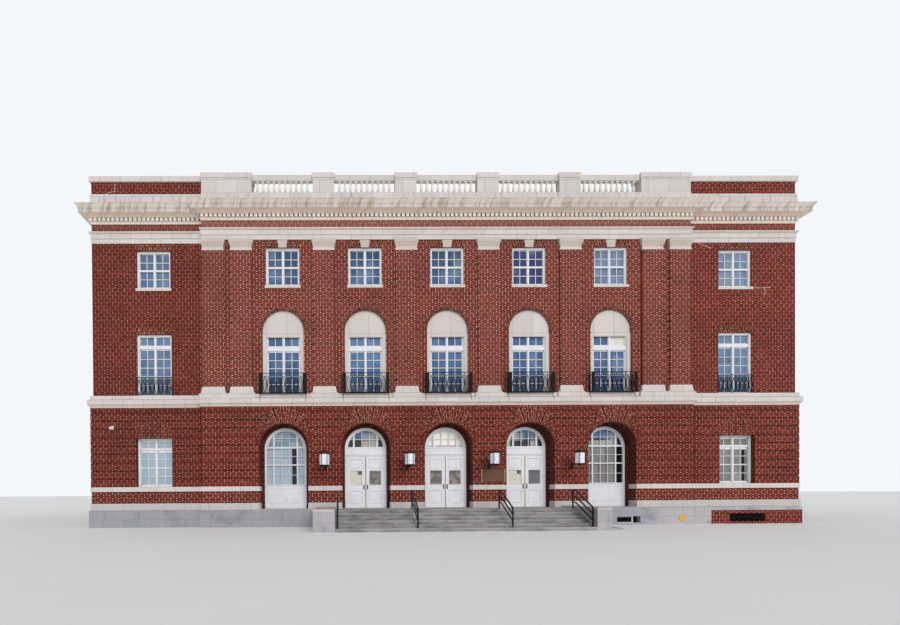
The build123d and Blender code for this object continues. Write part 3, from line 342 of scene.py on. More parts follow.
def brick_finish(shade=0.45):
    """Brick laid in Flemish bond on every upright face, darkened as painted shade in the recessed courses, in
    the arches and over the left wing, with plaster on the inner faces."""
    m = material("flemish_bond_brick")
    haze, clay = (0.62, 0.34, 0.32), (0.42, 0.17, 0.14)
    shadow, plaster = (0.020, 0.006, 0.005), (0.62, 0.58, 0.50)
    x, y, z = m.place()
    up_facing = abs(m.facing()[2])
    along = x + y * (1 - up_facing)
    up = z + y * up_facing
    under_belt = m.ease(z, BELT_FOOT - 0.7, BELT_FOOT, 0.0, 0.25) * (z < BELT_FOOT)
    streaks = m.noise(m.vector(x * 3.0, y * 3.0, z * 0.3), 1.0)
    grime_and_shade = m.ease(m.grain(0.35, 4.0, 0.6), 0.40, 0.75, 0.0, 0.25) + under_belt * m.ease(streaks, 0.4, 0.7)
    # painted shade: left of the middle the wing's brick takes more of the dark tint, as if it stood in shade
    grime_and_shade = grime_and_shade + m.ease(x, -MIDDLE_HALF, -MIDDLE_HALF - 0.3, 0.0, 0.15)
    # painted shade: the reveals of the arches are darkened with the shadow colour, and the ground storey's
    # brick between the raised bands by the given shade
    arch = within(y, -0.30, 0.5) * (z < ARCH_SPRING + ARCH_R + 0.01) * (abs(x) < MIDDLE_HALF)
    dark = (arch * 0.5).most(within(z, LEDGE_TOP, BELT_FOOT) * shade)
    middle = (abs(x) < MIDDLE_HALF + 0.2) * (z > BELT_TOP) * (y < 1.0)
    low_band = within(z, 1.28, 2.05)
    frieze = within(z, CORNICE_FOOT - 0.45, CORNICE_FOOT)
    bed = m.mix(BED_RED, BED_PALE, middle.most(frieze))
    color, rough, relief = brick_bond(m, along, up, grime_and_shade, bed, fleck=middle.most(low_band) * 0.30 + 0.70)
    pilaster = middle * (y < -0.36) * (z < 14.8)
    inner = within(y, LINING, DEPTH - LINING) * (abs(x) < WING_HALF - LINING)
    color = m.layers(color, (haze, frieze * (0.06 + middle * 0.10)), (clay, pilaster * 0.05), (shadow, dark),
                     (plaster, inner))
    return m.surface(color, rough, relief * (1 - inner), 0.004, FACE_SHINE)


def band_brick_finish():
    """The same brick for the raised bands, without the shade of the recessed courses."""
    return brick_finish(0.0)


def wedge_brick_finish():
    """Brick whose courses follow the piece's own bond map, for arches. Its joints are palest over the
    crown of a round arch and in the flat arches of the ground storey."""
    m = material("arch_brick")
    along, up, _ = m.parts(m.node("ShaderNodeUVMap", {"uv_map": "bond"}, {}))
    x, y, z = m.place()
    flat_arch = (abs(x) > MIDDLE_HALF).most(y > 1.0) * (z < BELT_FOOT)
    crown = m.ease(z, ARCH_SPRING + 0.7, ARCH_SPRING + 1.5).most(flat_arch * 0.8)
    dashes = m.noise(m.vector(along * 4.0, up * 14.0), 1.0, 2.0)
    crown = crown * m.ease(dashes, 0.40, 0.60, 0.25, 1.0)
    bed = m.mix((0.16, 0.045, 0.035), (0.60, 0.40, 0.30), crown)
    grime_and_shade = m.ease(m.grain(0.35, 4.0, 0.6), 0.42, 0.75, 0.15, 0.45)
    color, rough, relief = brick_bond(m, along, up, grime_and_shade, bed, 0.0055, 0.55)
    return m.surface(color, rough, relief, 0.004, FACE_SHINE)


DENTIL_HEIGHTS = (CORNICE_FOOT + 0.115, CORNICE_FOOT + 0.285)
JOINT_HEIGHTS = (0.43, 0.915, 1.29, LEDGE_TOP, 6.815, BELT_TOP, 15.44, 15.80, 17.67, 18.37)
BLOCK_LONG = BAY / 4
RUST_X = 1.20                     # balcony end, from the middle of its bay


def stone_finish(gaps=True):
    """Ashlar trim: joints every quarter bay that slide from course to course, soot on the ledges, ochre under
    them, runs of dirt down the face and rust below the balcony ends. Downward faces from the cornice up are
    painted paler, as painted light, and the band of the dentils is darkened as painted shade between the
    teeth."""
    m = material("trim_stone")
    look = bpy.context.scene.courthouse_trim
    grey, slate = (0.42, 0.40, 0.43), (0.33, 0.335, 0.385)
    mould, dirt = (0.15, 0.15, 0.17), (0.36, 0.29, 0.20)
    tan, painted_light_cream, painted_soffit_light, white = (0.50, 0.40, 0.33), (0.96, 0.85, 0.70), (1.0, 0.84, 0.69), (1.0, 0.97, 0.92)
    gap_shade, rust, seam_shade = (0.25, 0.14, 0.08), (0.36, 0.13, 0.035), (0.23, 0.20, 0.17)
    x, y, z = m.place()
    nz = m.facing()[2]
    along = x + y
    row = sum((z > height) for height in JOINT_HEIGHTS)
    block = along / BLOCK_LONG + row * 0.5
    level = abs(z - JOINT_HEIGHTS[0])
    for height in JOINT_HEIGHTS[1:]:
        level = level.least(abs(z - height))
    seam = m.ease((across(block) * BLOCK_LONG).least(level), 0.004, 0.010, 1.0, 0.0)
    luck = m.chance(block.floor(), row)
    fine, broad = m.grain(26.0, 5.0, 0.65), m.grain(0.8, 4.0, 0.6)
    runs = m.noise(m.vector(along * 5.0, 0.0, z * 0.45), 1.0, 4.0, 0.7)
    low = m.ease(z, 0.90, 0.92, 1.0, 0.0)
    aged = m.ease(x, 9.0, 12.0, 1.0, 0.35)
    under, flat = m.ease(nz, -0.15, -0.6), m.ease(nz, -0.65, -0.90)
    # ochre stain on downward faces below the cornice; from the cornice foot up they take a paler cream
    # instead, as painted light
    stain_and_painted_light = m.mix(look.ochre, painted_light_cream, z > CORNICE_FOOT)
    high = m.ease(z, 16.2, 17.2) * (z < 17.7)
    from_bay = abs((x + BAY * 2.5) % BAY - BAY / 2)
    drip = m.ease(abs(from_bay - RUST_X + (runs - 0.5) * 0.05), 0.015, 0.06, 1.0, 0.0)
    drip = drip * m.ease(z, 6.45, 6.95) * (z < 7.1) * (y < 0) * (abs(x) < 11.0)
    color = m.layers(
        # without gaps the stone is made paler, as painted light on the dentils and balusters
        faded(look.stone, 1.0 if gaps else 1.2),
        (faded(look.stone, 0.88), luck * (0.9 if gaps else 0.3)),
        (grey, m.ease(z, 1.40, 1.28, 0.0, 0.45)),
        (tan, within(z, ARCHITRAVE_FOOT - 0.45, ARCHITRAVE_FOOT) * 0.5),
        (dirt, within(z, CORNICE_FOOT + 0.3, CORNICE_TOP) * m.ease(runs, 0.38, 0.66, 0.03, 0.80)),
        (slate, low * m.ease(y, -0.55, -0.50, 0.45, 0.95) * aged),
        (mould, low * m.ease(broad, 0.50, 0.72, 0.0, 0.55)),
        (look.ochre, m.ease(broad, 0.55, 0.80, 0.0, 0.30) * (1 - low)),
        (stain_and_painted_light, under * (0.5 + within(z, CORNICE_FOOT, CORNICE_FOOT + 0.40) * 0.4)),
        # painted light: downward faces of the cornice are painted pale peach, and those above it white
        (painted_soffit_light, flat * (z > CORNICE_FOOT) * 0.95),
        (white, flat * (z > CORNICE_TOP)),
        (gap_shade, within(z, *DENTIL_HEIGHTS) * (0.9 if gaps else 0.0)),
        (look.soot, m.ease(runs, 0.50, 0.72, 0.0, 0.50) * (0.25 + high * 0.75)),
        (look.soot, m.ease(nz, 0.35, 0.8, 0.0, 0.35)),
        (look.soot, m.ease(fine, 0.62, 0.80, 0.0, 0.35)),
        (rust, drip * 0.75),
        (seam_shade, seam * (0.75 - flat * 0.65)))
    return m.surface(color, m.ease(fine, 0.3, 0.7, 0.72, 0.92), fine * 0.35 - seam, 0.003)


def lit_tooth_finish():
    """The trim stone of the dentils, a paler copy as painted light, without the painted shade of the gaps
    between them.
    """
    return stone_finish(False)


RISER, SLAB_LONG = 0.158, 1.5


def step_finish():
    """Worn paving stone: speckle, long dirt, joints across the flight, and on each riser a pale nosing,
    partly wear and partly a painted highlight, over a dark foot that is a painted shadow under the nosing."""
    m = material("step_stone")
    stone, worn = (0.34, 0.325, 0.325), (0.19, 0.18, 0.18)
    speckle, nosing = (0.62, 0.60, 0.60), (0.50, 0.485, 0.48)
    foot, pit, seam_shade = (0.07, 0.065, 0.065), (0.14, 0.125, 0.11), (0.13, 0.11, 0.095)
    x, y, z = m.place()
    fine = m.grain(90.0, 4.0, 0.7)
    broad = m.noise(m.vector(x * 0.6, y * 2.0, z * 2.0), 1.3, 5.0, 0.65)
    seam = m.ease(across((x + 0.75) / SLAB_LONG) * SLAB_LONG, 0.004, 0.012, 1.0, 0.0)
    seat = z / RISER - (z / RISER).floor()
    front = m.ease(m.facing()[2], 0.6, 0.3)
    color = m.layers(
        stone,
        (worn, m.ease(broad, 0.38, 0.68)),
        (speckle, m.ease(fine, 0.58, 0.72, 0.0, 0.45)),
        # pale nosing on each riser, partly wear and partly a painted highlight
        (nosing, front * m.ease(seat, 0.72, 0.90) * m.ease(broad, 0.42, 0.58, 0.75, 0.25)),
        # painted shadow under the nosing, at the foot of each riser
        (foot, front * m.ease(seat, 0.22, 0.05) * m.ease(broad, 0.42, 0.60, 0.15, 0.50)),
        (pit, m.ease(fine, 0.40, 0.28, 0.0, 0.5)),
        (seam_shade, seam * 0.8))
    return m.surface(color, m.ease(broad, 0.3, 0.7, 0.7, 0.9), fine - seam, 0.002)


def paint_finish(tone=1.0):
    """Brushed white paint with faint grain and a little dirt in it."""
    m = material("white_paint")
    paint = faded(bpy.context.scene.courthouse_trim.paint, tone)
    x, y, z = m.place()
    brush = m.noise(m.vector((x + y) * 40.0, y * 3.0, z * 3.0), 1.0, 4.0, 0.6)
    color = m.layers(paint, (faded(paint, 0.93), m.ease(m.grain(1.6, 4.0, 0.6), 0.4, 0.7)),
                     ((0.52, 0.47, 0.40), m.ease(brush, 0.64, 0.82, 0.0, 0.35)))
    return m.surface(color, m.ease(brush, 0.3, 0.7, 0.38, 0.55), brush, 0.0006)


def shaded_moulding_finish():
    """The same paint, darker, as painted shade that makes the mouldings read."""
    return paint_finish(0.88)


def lit_door_paint_finish():
    """Whiter paint of the entrance doors, made paler as painted light against the shade of their recesses."""
    return paint_finish(1.09)


def glass_finish():
    """Window glass with a painted reflection of the sky in it: each window leans to its own tone, darker low
    in the tall windows and high in the top ones, pale in the ground storey with a few open dark panes, and
    the middle fan lights painted as if lit from behind."""
    m = material("window_glass")
    sky = bpy.context.scene.courthouse_trim.sky
    navy, pale = (0.030, 0.038, 0.135), (0.22, 0.29, 0.42)
    black, deep = (0.008, 0.008, 0.010), (0.035, 0.070, 0.17)
    x, y, z = m.place()
    along = x + y
    window = m.chance((along / BAY + 0.5).floor(), (z / 5.3).floor(), 3.0)
    pane = m.chance((along / 0.37).floor(), (z / 0.46).floor(), 1.0)
    drift = m.noise(m.vector(along, 0.0, z * 0.7), 0.9)
    top, front = z > 12.0, y < 1.0
    rise = m.ease(z, 7.3, 9.0) * (1 - top) + m.ease(z, 14.6, 13.0) * top
    # painted reflection of the sky, its clouds and the street in the upper windows
    upper = m.layers(
        faded(sky, 0.55),
        (sky, rise),
        ((0.12, 0.225, 0.40), rise * m.ease(window, 0.3, 0.9, 0.0, 0.85)),
        (deep, top * 0.4),
        (navy, top * front * within(x, BAY / 2, BAY * 1.5)),
        (pale, top * front * (x > BAY * 1.5) * 0.8),
        (pale, m.ease(drift, 0.50, 0.70, 0.0, 0.55)),
        (pale, (abs(x) > MIDDLE_HALF) * 0.35),
        ((0.02, 0.03, 0.06), m.ease(pane, 0.55, 1.0, 0.0, 0.35)))
    fan_light = m.layers(
        (0.035, 0.037, 0.045),
        ((0.09, 0.18, 0.34), m.ease(z, 4.62, 4.78)),
        ((0.55, 0.53, 0.47), m.ease(pane, 0.50, 0.75, 0.0, 0.8)),
        # painted light: the middle fan lights are painted pale cream, as if lit from the hall behind
        ((1.0, 0.98, 0.90), (abs(x) < 1.3) * m.ease(z, 4.26, 4.42)),
        ((0.30, 0.40, 0.50), m.ease(x, -7.0, -7.5, 0.0, 0.7)))
    open_panes = within(x, -8.40, -8.13) + within(x, 9.40, 9.80) + within(x, 16.25, 16.40)
    color = m.layers(
        (0.37, 0.46, 0.54),
        ((0.22, 0.205, 0.195), m.ease(x, 2.0, 8.0)),
        ((0.55, 0.55, 0.52), m.ease(pane, 0.6, 1.0, 0.0, 0.30)),
        (black, open_panes * front * (z < 4.27)),
        (fan_light, within(y, 0.3, 1.0) * within(z, 4.27, 5.4)),
        (upper, z > 6.0))
    return m.surface(color, m.ease(drift, 0.3, 0.7, 0.05, 0.12), extra=GLASS_SHINE)


def door_glass_finish():
    """Grey door glass with a mottled hall behind it."""
    m = material("door_glass")
    x, y, z = m.place()
    broad = m.grain(3.0, 3.0, 0.6)
    color = m.layers((0.16, 0.145, 0.12), ((0.34, 0.31, 0.26), m.ease(broad, 0.40, 0.65)),
                     ((0.16, 0.165, 0.19), m.ease(x, 2.5, 3.0, 0.0, 0.8)),
                     ((0.05, 0.05, 0.05), m.ease(z, 2.70, 2.95, 0.0, 0.5)))
    return m.surface(color, m.ease(broad, 0.3, 0.7, 0.06, 0.14), extra=GLASS_SHINE)


def iron_finish():
    """Black paint over iron, dulled by dust on its upper faces."""
    m = material("black_iron")
    fine = m.grain(70.0, 4.0, 0.6)
    color = m.layers(bpy.context.scene.courthouse_trim.iron,
                     ((0.10, 0.095, 0.09), m.ease(m.facing()[2], 0.4, 0.9, 0.0, 0.25)),
                     ((0.09, 0.035, 0.018), m.ease(fine, 0.64, 0.78, 0.0, 0.4)))
    return m.surface(color, m.ease(fine, 0.3, 0.7, 0.35, 0.6), fine, 0.0008, {"Specular IOR Level": 0.2})


def floor_finish():
    """Speckled floor in squares."""
    m = material("hall_floor")
    x, y, _ = m.place()
    fine = m.grain(110.0, 3.0, 0.6)
    edge = [abs(v / 0.6 - (v / 0.6).floor() - 0.5) for v in (x, y)]
    seam = m.ease(edge[0].most(edge[1]), 0.485, 0.495)
    color = m.layers((0.46, 0.43, 0.38), ((0.30, 0.27, 0.23), m.ease(fine, 0.45, 0.6)),
                     ((0.18, 0.16, 0.14), seam))
    return m.surface(color, 0.35, fine - seam, 0.001)


def roof_finish():
    """Grey roofing felt with lapped sheets, each a metre wide, and grit."""
    m = material("roof_felt")
    x = m.place()[0]
    fine, broad = m.grain(45.0, 5.0, 0.7), m.grain(0.3, 4.0, 0.6)
    sheet = x.floor()
    lap = m.ease(x - sheet, 0.0, 0.03, 1.0, 0.0)
    color = m.layers((0.25, 0.25, 0.245), ((0.16, 0.16, 0.16), m.chance(sheet, 0.0)),
                     ((0.38, 0.36, 0.33), m.ease(broad, 0.45, 0.7, 0.0, 0.6)), ((0.07, 0.07, 0.07), lap))
    return m.surface(color, m.ease(fine, 0.3, 0.7, 0.8, 0.98), fine + lap, 0.004)


def two_tone(name, first, second, span, scale, detail, rough, relief, extra=None):
    """A small surface that wanders between two colours as its grain runs over the span."""
    m = material(name)
    grain = m.grain(scale, detail, 0.6)
    return m.surface(m.mix(first, second, m.ease(grain, *span)), m.ease(grain, 0.3, 0.7, *rough), grain,
                     relief, extra)


FINISHES = {"brick": brick_finish, "band_brick": band_brick_finish, "wedge": wedge_brick_finish,
            "stone": stone_finish, "tooth": lit_tooth_finish, "step_stone": step_finish,
            "white_wood": paint_finish, "shaded_moulding": shaded_moulding_finish, "lit_door_paint": lit_door_paint_finish,
            "glass": glass_finish, "door_glass": door_glass_finish, "iron": iron_finish,
            "floor": floor_finish, "roofing": roof_finish}
TWO_TONES = {
    "shade_hollow": ("painted_shade_hollow", (0.003, 0.003, 0.003), (0.012, 0.010, 0.009), (0.4, 0.7), 5.0, 3.0,
               (0.8, 0.95), 0.002, {"Specular IOR Level": 0.1}),
    "bronze": ("aged_bronze", (0.17, 0.085, 0.050), (0.10, 0.065, 0.045), (0.45, 0.7), 30.0, 4.0,
               (0.45, 0.65), 0.0008, {"Metallic": 0.3}),
    "brass": ("door_brass", (0.72, 0.55, 0.28), (0.42, 0.28, 0.11), (0.45, 0.7), 60.0, 4.0,
              (0.25, 0.5), 0.0004, {"Metallic": 0.6}),
    "opal": ("lantern_glass", (0.90, 0.92, 0.98), (0.74, 0.76, 0.82), (0.4, 0.7), 6.0, 3.0,
             (0.15, 0.3), 0.001),
    "paper": ("blank_paper", (0.80, 0.77, 0.66), (0.62, 0.60, 0.52), (0.45, 0.7), 14.0, 3.0,
              (0.7, 0.9), 0.0005),
    "yellow": ("yellow_enamel", (0.78, 0.42, 0.03), (0.40, 0.20, 0.03), (0.55, 0.7), 40.0, 3.0,
               (0.3, 0.6), 0.0005),
}
OWN_FINISH = {"cheek_blocks": "stone", "door_hinges": "white_wood", "door_frames": "lit_door_paint",
              **{body + "_leaf": "lit_door_paint" for body, _ in DOORS},
              **{body + "_pane": "door_glass" for body, _ in DOORS}}
MADE = {}


def finish(name):
    """The finish of that name, built the first time it is asked for."""
    if name not in MADE:
        MADE[name] = two_tone(*TWO_TONES[name]) if name in TWO_TONES else FINISHES[name]()
    return MADE[name]


# Shapes: a shape is its points and a list of face arrays
def joined(shapes):
    """Several shapes as one: each shape's face numbers move past the points before it."""
    starts = np.cumsum([0] + [len(points) for points, _ in shapes])
    points = np.concatenate([p for p, _ in shapes])
    return points, [f + start for (_, faces), start in zip(shapes, starts) for f in faces]


def moved(shape, offset):
    """A shape with an offset added to all its points."""
    return shape[0] + offset, shape[1]


def repeated(shape, offsets):
    """A shape copied to each offset by adding the offset to all its points."""
    points, faces = shape
    offsets = np.asarray(offsets, float).reshape(-1, 3)
    copies = (offsets[:, None] + points[None]).reshape(-1, 3)
    shifts = len(points) * np.arange(len(offsets))
    return copies, [(shifts[:, None, None] + f[None]).reshape(-1, f.shape[1]) for f in faces]


def spread_out(places, second, third):
    """Offsets that share their second and third numbers."""
    return np.stack([places, np.full(len(places), second), np.full(len(places), third)], -1)


CORNERS = np.array([[0, 0, 0], [1, 0, 0], [1, 1, 0], [0, 1, 0], [0, 0, 1], [1, 0, 1], [1, 1, 1], [0, 1, 1]])
BLOCK_FACES = np.array([[0, 3, 2, 1], [4, 5, 6, 7], [0, 1, 5, 4], [1, 2, 6, 5], [2, 3, 7, 6], [3, 0, 4, 7]])


def blocks(spans):
    """Closed boxes: each corner takes the low or the high end of each of the three spans."""
    ends = np.asarray(spans, float).reshape(-1, 3, 2)
    points = ends[:, np.arange(3), CORNERS].reshape(-1, 3)
    shifts = 8 * np.arange(len(ends))
    return points, [(shifts[:, None, None] + BLOCK_FACES[None]).reshape(-1, 4)]


def ring_faces(rings, sides, wrap_rings):
    """Quads between neighbouring rings of points, round all their sides."""
    i = np.arange(rings if wrap_rings else rings - 1)[:, None]
    j = np.arange(sides)[None]
    after, beside = (i + 1) % rings, (j + 1) % sides
    corners = [i * sides + j, i * sides + beside, after * sides + beside, after * sides + j]
    return np.stack(np.broadcast_arrays(*corners), -1).reshape(-1, 4)


def carried(path, section, closed=False):
    """A section (aside, out) carried along a path (along, up): at each point the section is set on the
    mean of the two edges' left normals, lengthened so that straight edges keep their width."""
    path, section = np.asarray(path, float), np.asarray(section, float)
    if closed:
        before, after = path - np.roll(path, 1, 0), np.roll(path, -1, 0) - path
    else:
        steps = np.diff(path, axis=0)
        before, after = np.concatenate([steps[:1], steps]), np.concatenate([steps, steps[-1:]])
    sides = [np.stack([-e[:, 1], e[:, 0]], 1) / np.linalg.norm(e, axis=1, keepdims=True)
             for e in (before, after)]
    lean = sides[0] + sides[1]
    lean = 2 * lean / (lean * lean).sum(1, keepdims=True)
    flat = path[:, None] + lean[:, None] * section[None, :, :1]
    out = np.broadcast_to(section[None, :, 1:], (*flat.shape[:2], 1))
    points = np.concatenate([flat, out], -1).reshape(-1, 3)
    count = len(section)
    faces = [ring_faces(len(path), count, closed)]
    if not closed:
        faces += [np.arange(count)[None, ::-1], (len(path) - 1) * count + np.arange(count)[None]]
    return points, faces


def turned(profile, sides, lift=0.0):
    """A profile (radius, up) turned about an upright axis: x and y are the radius times the cosine and
    sine of the turn. Its ends are closed with flat faces."""
    profile = np.asarray(profile, float)
    turn = np.arange(sides) * 2 * np.pi / sides + lift
    ring = np.stack([np.cos(turn), np.sin(turn)], -1)
    flat = profile[:, None, :1] * ring[None]
    points = np.concatenate([flat, np.broadcast_to(profile[:, None, 1:], (*flat.shape[:2], 1))], -1)
    last = (len(profile) - 1) * sides + np.arange(sides)
    return points.reshape(-1, 3), [ring_faces(len(profile), sides, False),
                                   np.arange(sides)[None, ::-1], last[None]]


def plate(outline, back, front):
    """A flat piece: an outline (along, up), run anticlockwise, drawn out between two distances."""
    outline = np.asarray(outline, float)
    count = len(outline)
    points = np.concatenate([np.column_stack([outline, np.full(count, out)]) for out in (back, front)])
    turn = np.arange(count)
    after = (turn + 1) % count
    sides = np.stack([turn, after, after + count, turn + count], -1)
    return points, [turn[None, ::-1], turn[None] + count, sides]


def edgewise(shape):
    """A shape worked out in (out, up) with its thickness along, set square to the wall."""
    return shape[0][:, [2, 1, 0]], [f[:, ::-1] for f in shape[1]]


def in_plan(shape):
    """A shape worked out in (along, out) with its thickness upwards, stood up."""
    return shape[0][:, [0, 2, 1]], [f[:, ::-1] for f in shape[1]]


def rectangle(low, high, foot, top):
    return [(low, foot), (high, foot), (high, top), (low, top)]


def square_section(half, out):
    """A square of that half width as a section, its centre at a distance out."""
    return [(-half, out - half), (half, out - half), (half, out + half), (-half, out + half)]


def round_section(radius, middle, sides=8):
    """A circle as a section, its centre at a distance out."""
    turn = np.arange(sides) * 2 * np.pi / sides
    return np.stack([radius * np.cos(turn), middle + radius * np.sin(turn)], -1)


def bowed_bar(middle, foot, top, swell, half, out):
    """A square bar that bows aside by the swell times the sine of half a turn over its height."""
    share = np.linspace(0, 1, 11)
    path = np.stack([middle + swell * np.sin(np.pi * share), foot + share * (top - foot)], -1)
    return carried(path, square_section(half, out))


def wall_places(side, points):
    """Points (along, up, out) of a wall in the frame's x, y and z."""
    along, up, out = np.asarray(points, float).T
    if side == "front":
        x, y = along, -out
    elif side == "back":
        x, y = -along, DEPTH + out
    elif side == "left":
        x, y = -WING_HALF - out, DEPTH / 2 - along
    else:
        x, y = WING_HALF + out, DEPTH / 2 + along
    return np.stack([x, y, up], -1)


def on_side(side, *shapes):
    points, faces = joined(shapes)
    return wall_places(side, points), faces


def on_rows(shape, rows, out=0.0):
    """A wall shape at each place of each row of (side, places, row's own out)."""
    return joined([on_side(side, repeated(shape, spread_out(places, 0.0, row_out + out)))
                   for side, places, row_out in rows])


def add_piece(name, shape, finish_name, body="building", stands_for=(), bevel=0.0, bond=None):
    """Makes a mesh from whole arrays, gives it its finish and body, and rounds its edges. The bond map
    of one copy is repeated for all copies in the shape."""
    points, faces = shape
    mesh = bpy.data.meshes.new(name)
    mesh.from_pydata(points.tolist(), [], [face for block in faces for face in block.tolist()])
    if bond is not None:
        corner = np.empty(len(mesh.loops), np.int32)
        mesh.loops.foreach_get("vertex_index", corner)
        places = bond[corner % len(bond)].astype(np.float32)
        mesh.uv_layers.new(name="bond").data.foreach_set("uv", places.ravel())
    mesh.update()
    made = bpy.data.objects.new(name, mesh)
    bpy.context.scene.collection.objects.link(made)
    mesh.materials.append(finish(finish_name))
    if bevel:
        edge = made.modifiers.new("eased_edges", "BEVEL")
        edge.width, edge.segments, edge.limit_method = bevel, 1, "ANGLE"
    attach(made, body)
    if stands_for:
        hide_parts(*stands_for)


class COURTHOUSE_OT_finishes(bpy.types.Operator):
    """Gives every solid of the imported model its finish"""
    bl_idname = "courthouse.finishes"
    bl_label = "Finishes"

    def execute(self, context):
        for part in frame["record"]["subparts"]:
            node = frame["nodes"][part["node"]]
            node.data.materials.clear()
            node.data.materials.append(finish(OWN_FINISH.get(part["node"], part["material_slot"])))
        return {"FINISHED"}


# Brickwork
WINDOW_GAP = 0.95                 # half of the gap that the bands leave at a window


def band_rows():
    """Foot and top of each raised band."""
    return [(foot, min(foot + BAND - COURSE, BELT_FOOT)) for foot in np.arange(LEDGE_TOP, BELT_FOOT, BAND)]


def band_spans(low, high, out, proud, arches=(), windows=()):
    """Spans of the brick bands of one wall stretch, left out of its arches and windows."""
    spans = []
    for foot, top in band_rows():
        over = max(foot - ARCH_SPRING, 0.0)
        half = max(ARCH_R ** 2 - over ** 2, 0.0) ** 0.5
        holes = [(x - half, x + half) for x in arches if half > 0]
        if foot < GROUND_WINDOW[2]:
            holes += [(x - WINDOW_GAP, x + WINDOW_GAP) for x in windows]
        edges = [low, *[e for hole in sorted(holes) for e in hole], high]
        spans += [(a, b, foot, top, out + SUNK, out + proud) for a, b in zip(edges[::2], edges[1::2])]
    return spans


class COURTHOUSE_OT_bands(bpy.types.Operator):
    """Raised brick bands of the ground storey: six courses proud and one recessed"""
    bl_idname = "courthouse.bands"
    bl_label = "Brick bands"

    def execute(self, context):
        proud = context.scene.courthouse_brick.proud
        half, deep = MIDDLE_HALF + GROUND_OUT, DEPTH / 2 + GROUND_OUT
        far = WING_HALF + GROUND_OUT + proud
        front = band_spans(-half - proud, half + proud, ENTRY_OUT, proud, arches=BAY_X)
        front += band_spans(-far, -half, GROUND_OUT, proud, windows=WING_X[:1])
        front += band_spans(half, far, GROUND_OUT, proud, windows=WING_X[1:])
        front += [(a, b, foot, top, GROUND_OUT, ENTRY_OUT + proud)
                  for a, b in ((-half - proud, -half), (half, half + proud)) for foot, top in band_rows()]
        side = blocks(band_spans(-deep, deep, GROUND_OUT, proud, windows=BAY_X))
        back = blocks(band_spans(-far, far, GROUND_OUT, proud, windows=[*BAY_X, *WING_X]))
        shape = joined([on_side("front", blocks(front)), on_side("left", side), on_side("right", side),
                        on_side("back", back)])
        add_piece("brick_bands", shape, "band_brick")
        return {"FINISHED"}


WEDGE_SCALE = 0.85                # bond map of an arch: fewer, wider wedges than courses
WEDGE_GAP, RING_GAP = 0.009, 0.003            # half joints of the round arches, in radians
WEDGE_SHORT, WEDGE_LONG, LONG_CURVE = 0.16, 0.73, 1.3      # length at the foot, and what the crown adds
ODD_SHORTER, NEAR_CROWN = 0.09, 0.95          # every other wedge is shorter, but for the crown's
WEDGE_LOSS, LOSS_CURVE = 0.65, 1.2            # share of its height that a flat arch's end would lose


def fan(spans, centre_up):
    """Blocks given as (turn, radius, out) spans bent round a centre: along is the radius times the sine of
    the turn, up is the centre plus the radius times its cosine. The bond map keeps radius and arc."""
    points, faces = blocks(spans)
    turn, radius, out = points.T
    bent = np.stack([radius * np.sin(turn), centre_up + radius * np.cos(turn), out], -1)
    return (bent, faces), np.stack([radius, turn * WEDGE_SCALE], -1)


def wedge_head(foot, top, width, spread, count, gap, out):
    """A flat arch: upright wedges whose sides lean outwards with height. A wedge loses more of its height
    the further it stands from the middle."""
    edges = np.linspace(-1, 1, count + 1)
    spans = [(a + gap, b - gap, foot, top - (top - foot) * WEDGE_LOSS * abs((a + b) / 2) ** LOSS_CURVE,
              SUNK, out) for a, b in zip(edges, edges[1:])]
    points, faces = blocks(spans)
    share, up, deep = points.T
    half = width / 2 + spread * (up - foot) / (top - foot)
    return (np.stack([share * half, up, deep], -1), faces), np.stack([up, share * width / 4], -1)


class COURTHOUSE_OT_arches(bpy.types.Operator):
    """Radiating brick of the arches and flat arches, and the rings round the tall windows"""
    bl_idname = "courthouse.arches"
    bl_label = "Brick arches"

    def execute(self, context):
        proud, ring_out, flush = context.scene.courthouse_brick.proud + 0.004, 0.018, 0.006
        count, ring_count, ring_wide = 13, 32, 0.2
        edges = np.linspace(-np.pi / 2, np.pi / 2, count + 1)
        lean = np.cos((edges[:-1] + edges[1:]) / 2) ** LONG_CURVE
        shorter = ODD_SHORTER * (np.arange(count) % 2) * (lean < NEAR_CROWN)
        ends = ARCH_R + WEDGE_SHORT + WEDGE_LONG * lean - shorter
        spans = [(a + WEDGE_GAP, b - WEDGE_GAP, ARCH_R, end, SUNK, proud)
                 for a, b, end in zip(edges, edges[1:], ends)]
        self.place("ground_arch_brick", fan(spans, ARCH_SPRING), [("front", BAY_X, ENTRY_OUT)])
        edges = np.linspace(-np.pi / 2, np.pi / 2, ring_count + 1)
        spans = [(a + RING_GAP, b - RING_GAP, HOOD_R, HOOD_R + ring_wide, SUNK, ring_out)
                 for a, b in zip(edges, edges[1:])]
        self.place("window_arch_rings", fan(spans, HOOD_SPRING), MIDDLE_ROW)
        jambs = blocks([(a, a + ring_wide, BELT_TOP, HOOD_SPRING, SUNK, ring_out)
                        for a in (-HOOD_R - ring_wide, HOOD_R)])
        add_piece("window_arch_jambs", on_rows(jambs, MIDDLE_ROW), "brick")
        for name, (width, _, head), top, wider, spread, pieces, gap, out, rows in (
                ("ground_flat_arches", GROUND_WINDOW, 5.86, -0.04, 0.08, 7, 0.012, proud, GROUND_ROWS),
                ("tall_flat_arches", TALL_WINDOW, 10.66, 0.0, 0.12, 1, 0.0, flush, SIDES),
                ("top_flat_arches", TOP_WINDOW, ARCHITRAVE_FOOT, 0.0, 0.14, 1, 0.0, flush, TOP_ROWS)):
            self.place(name, wedge_head(head, top, width + wider, spread, pieces, gap, out), rows)
        return {"FINISHED"}

    def place(self, name, wedges, rows):
        shape, bond = wedges
        add_piece(name, on_rows(shape, rows), "wedge", bond=bond)


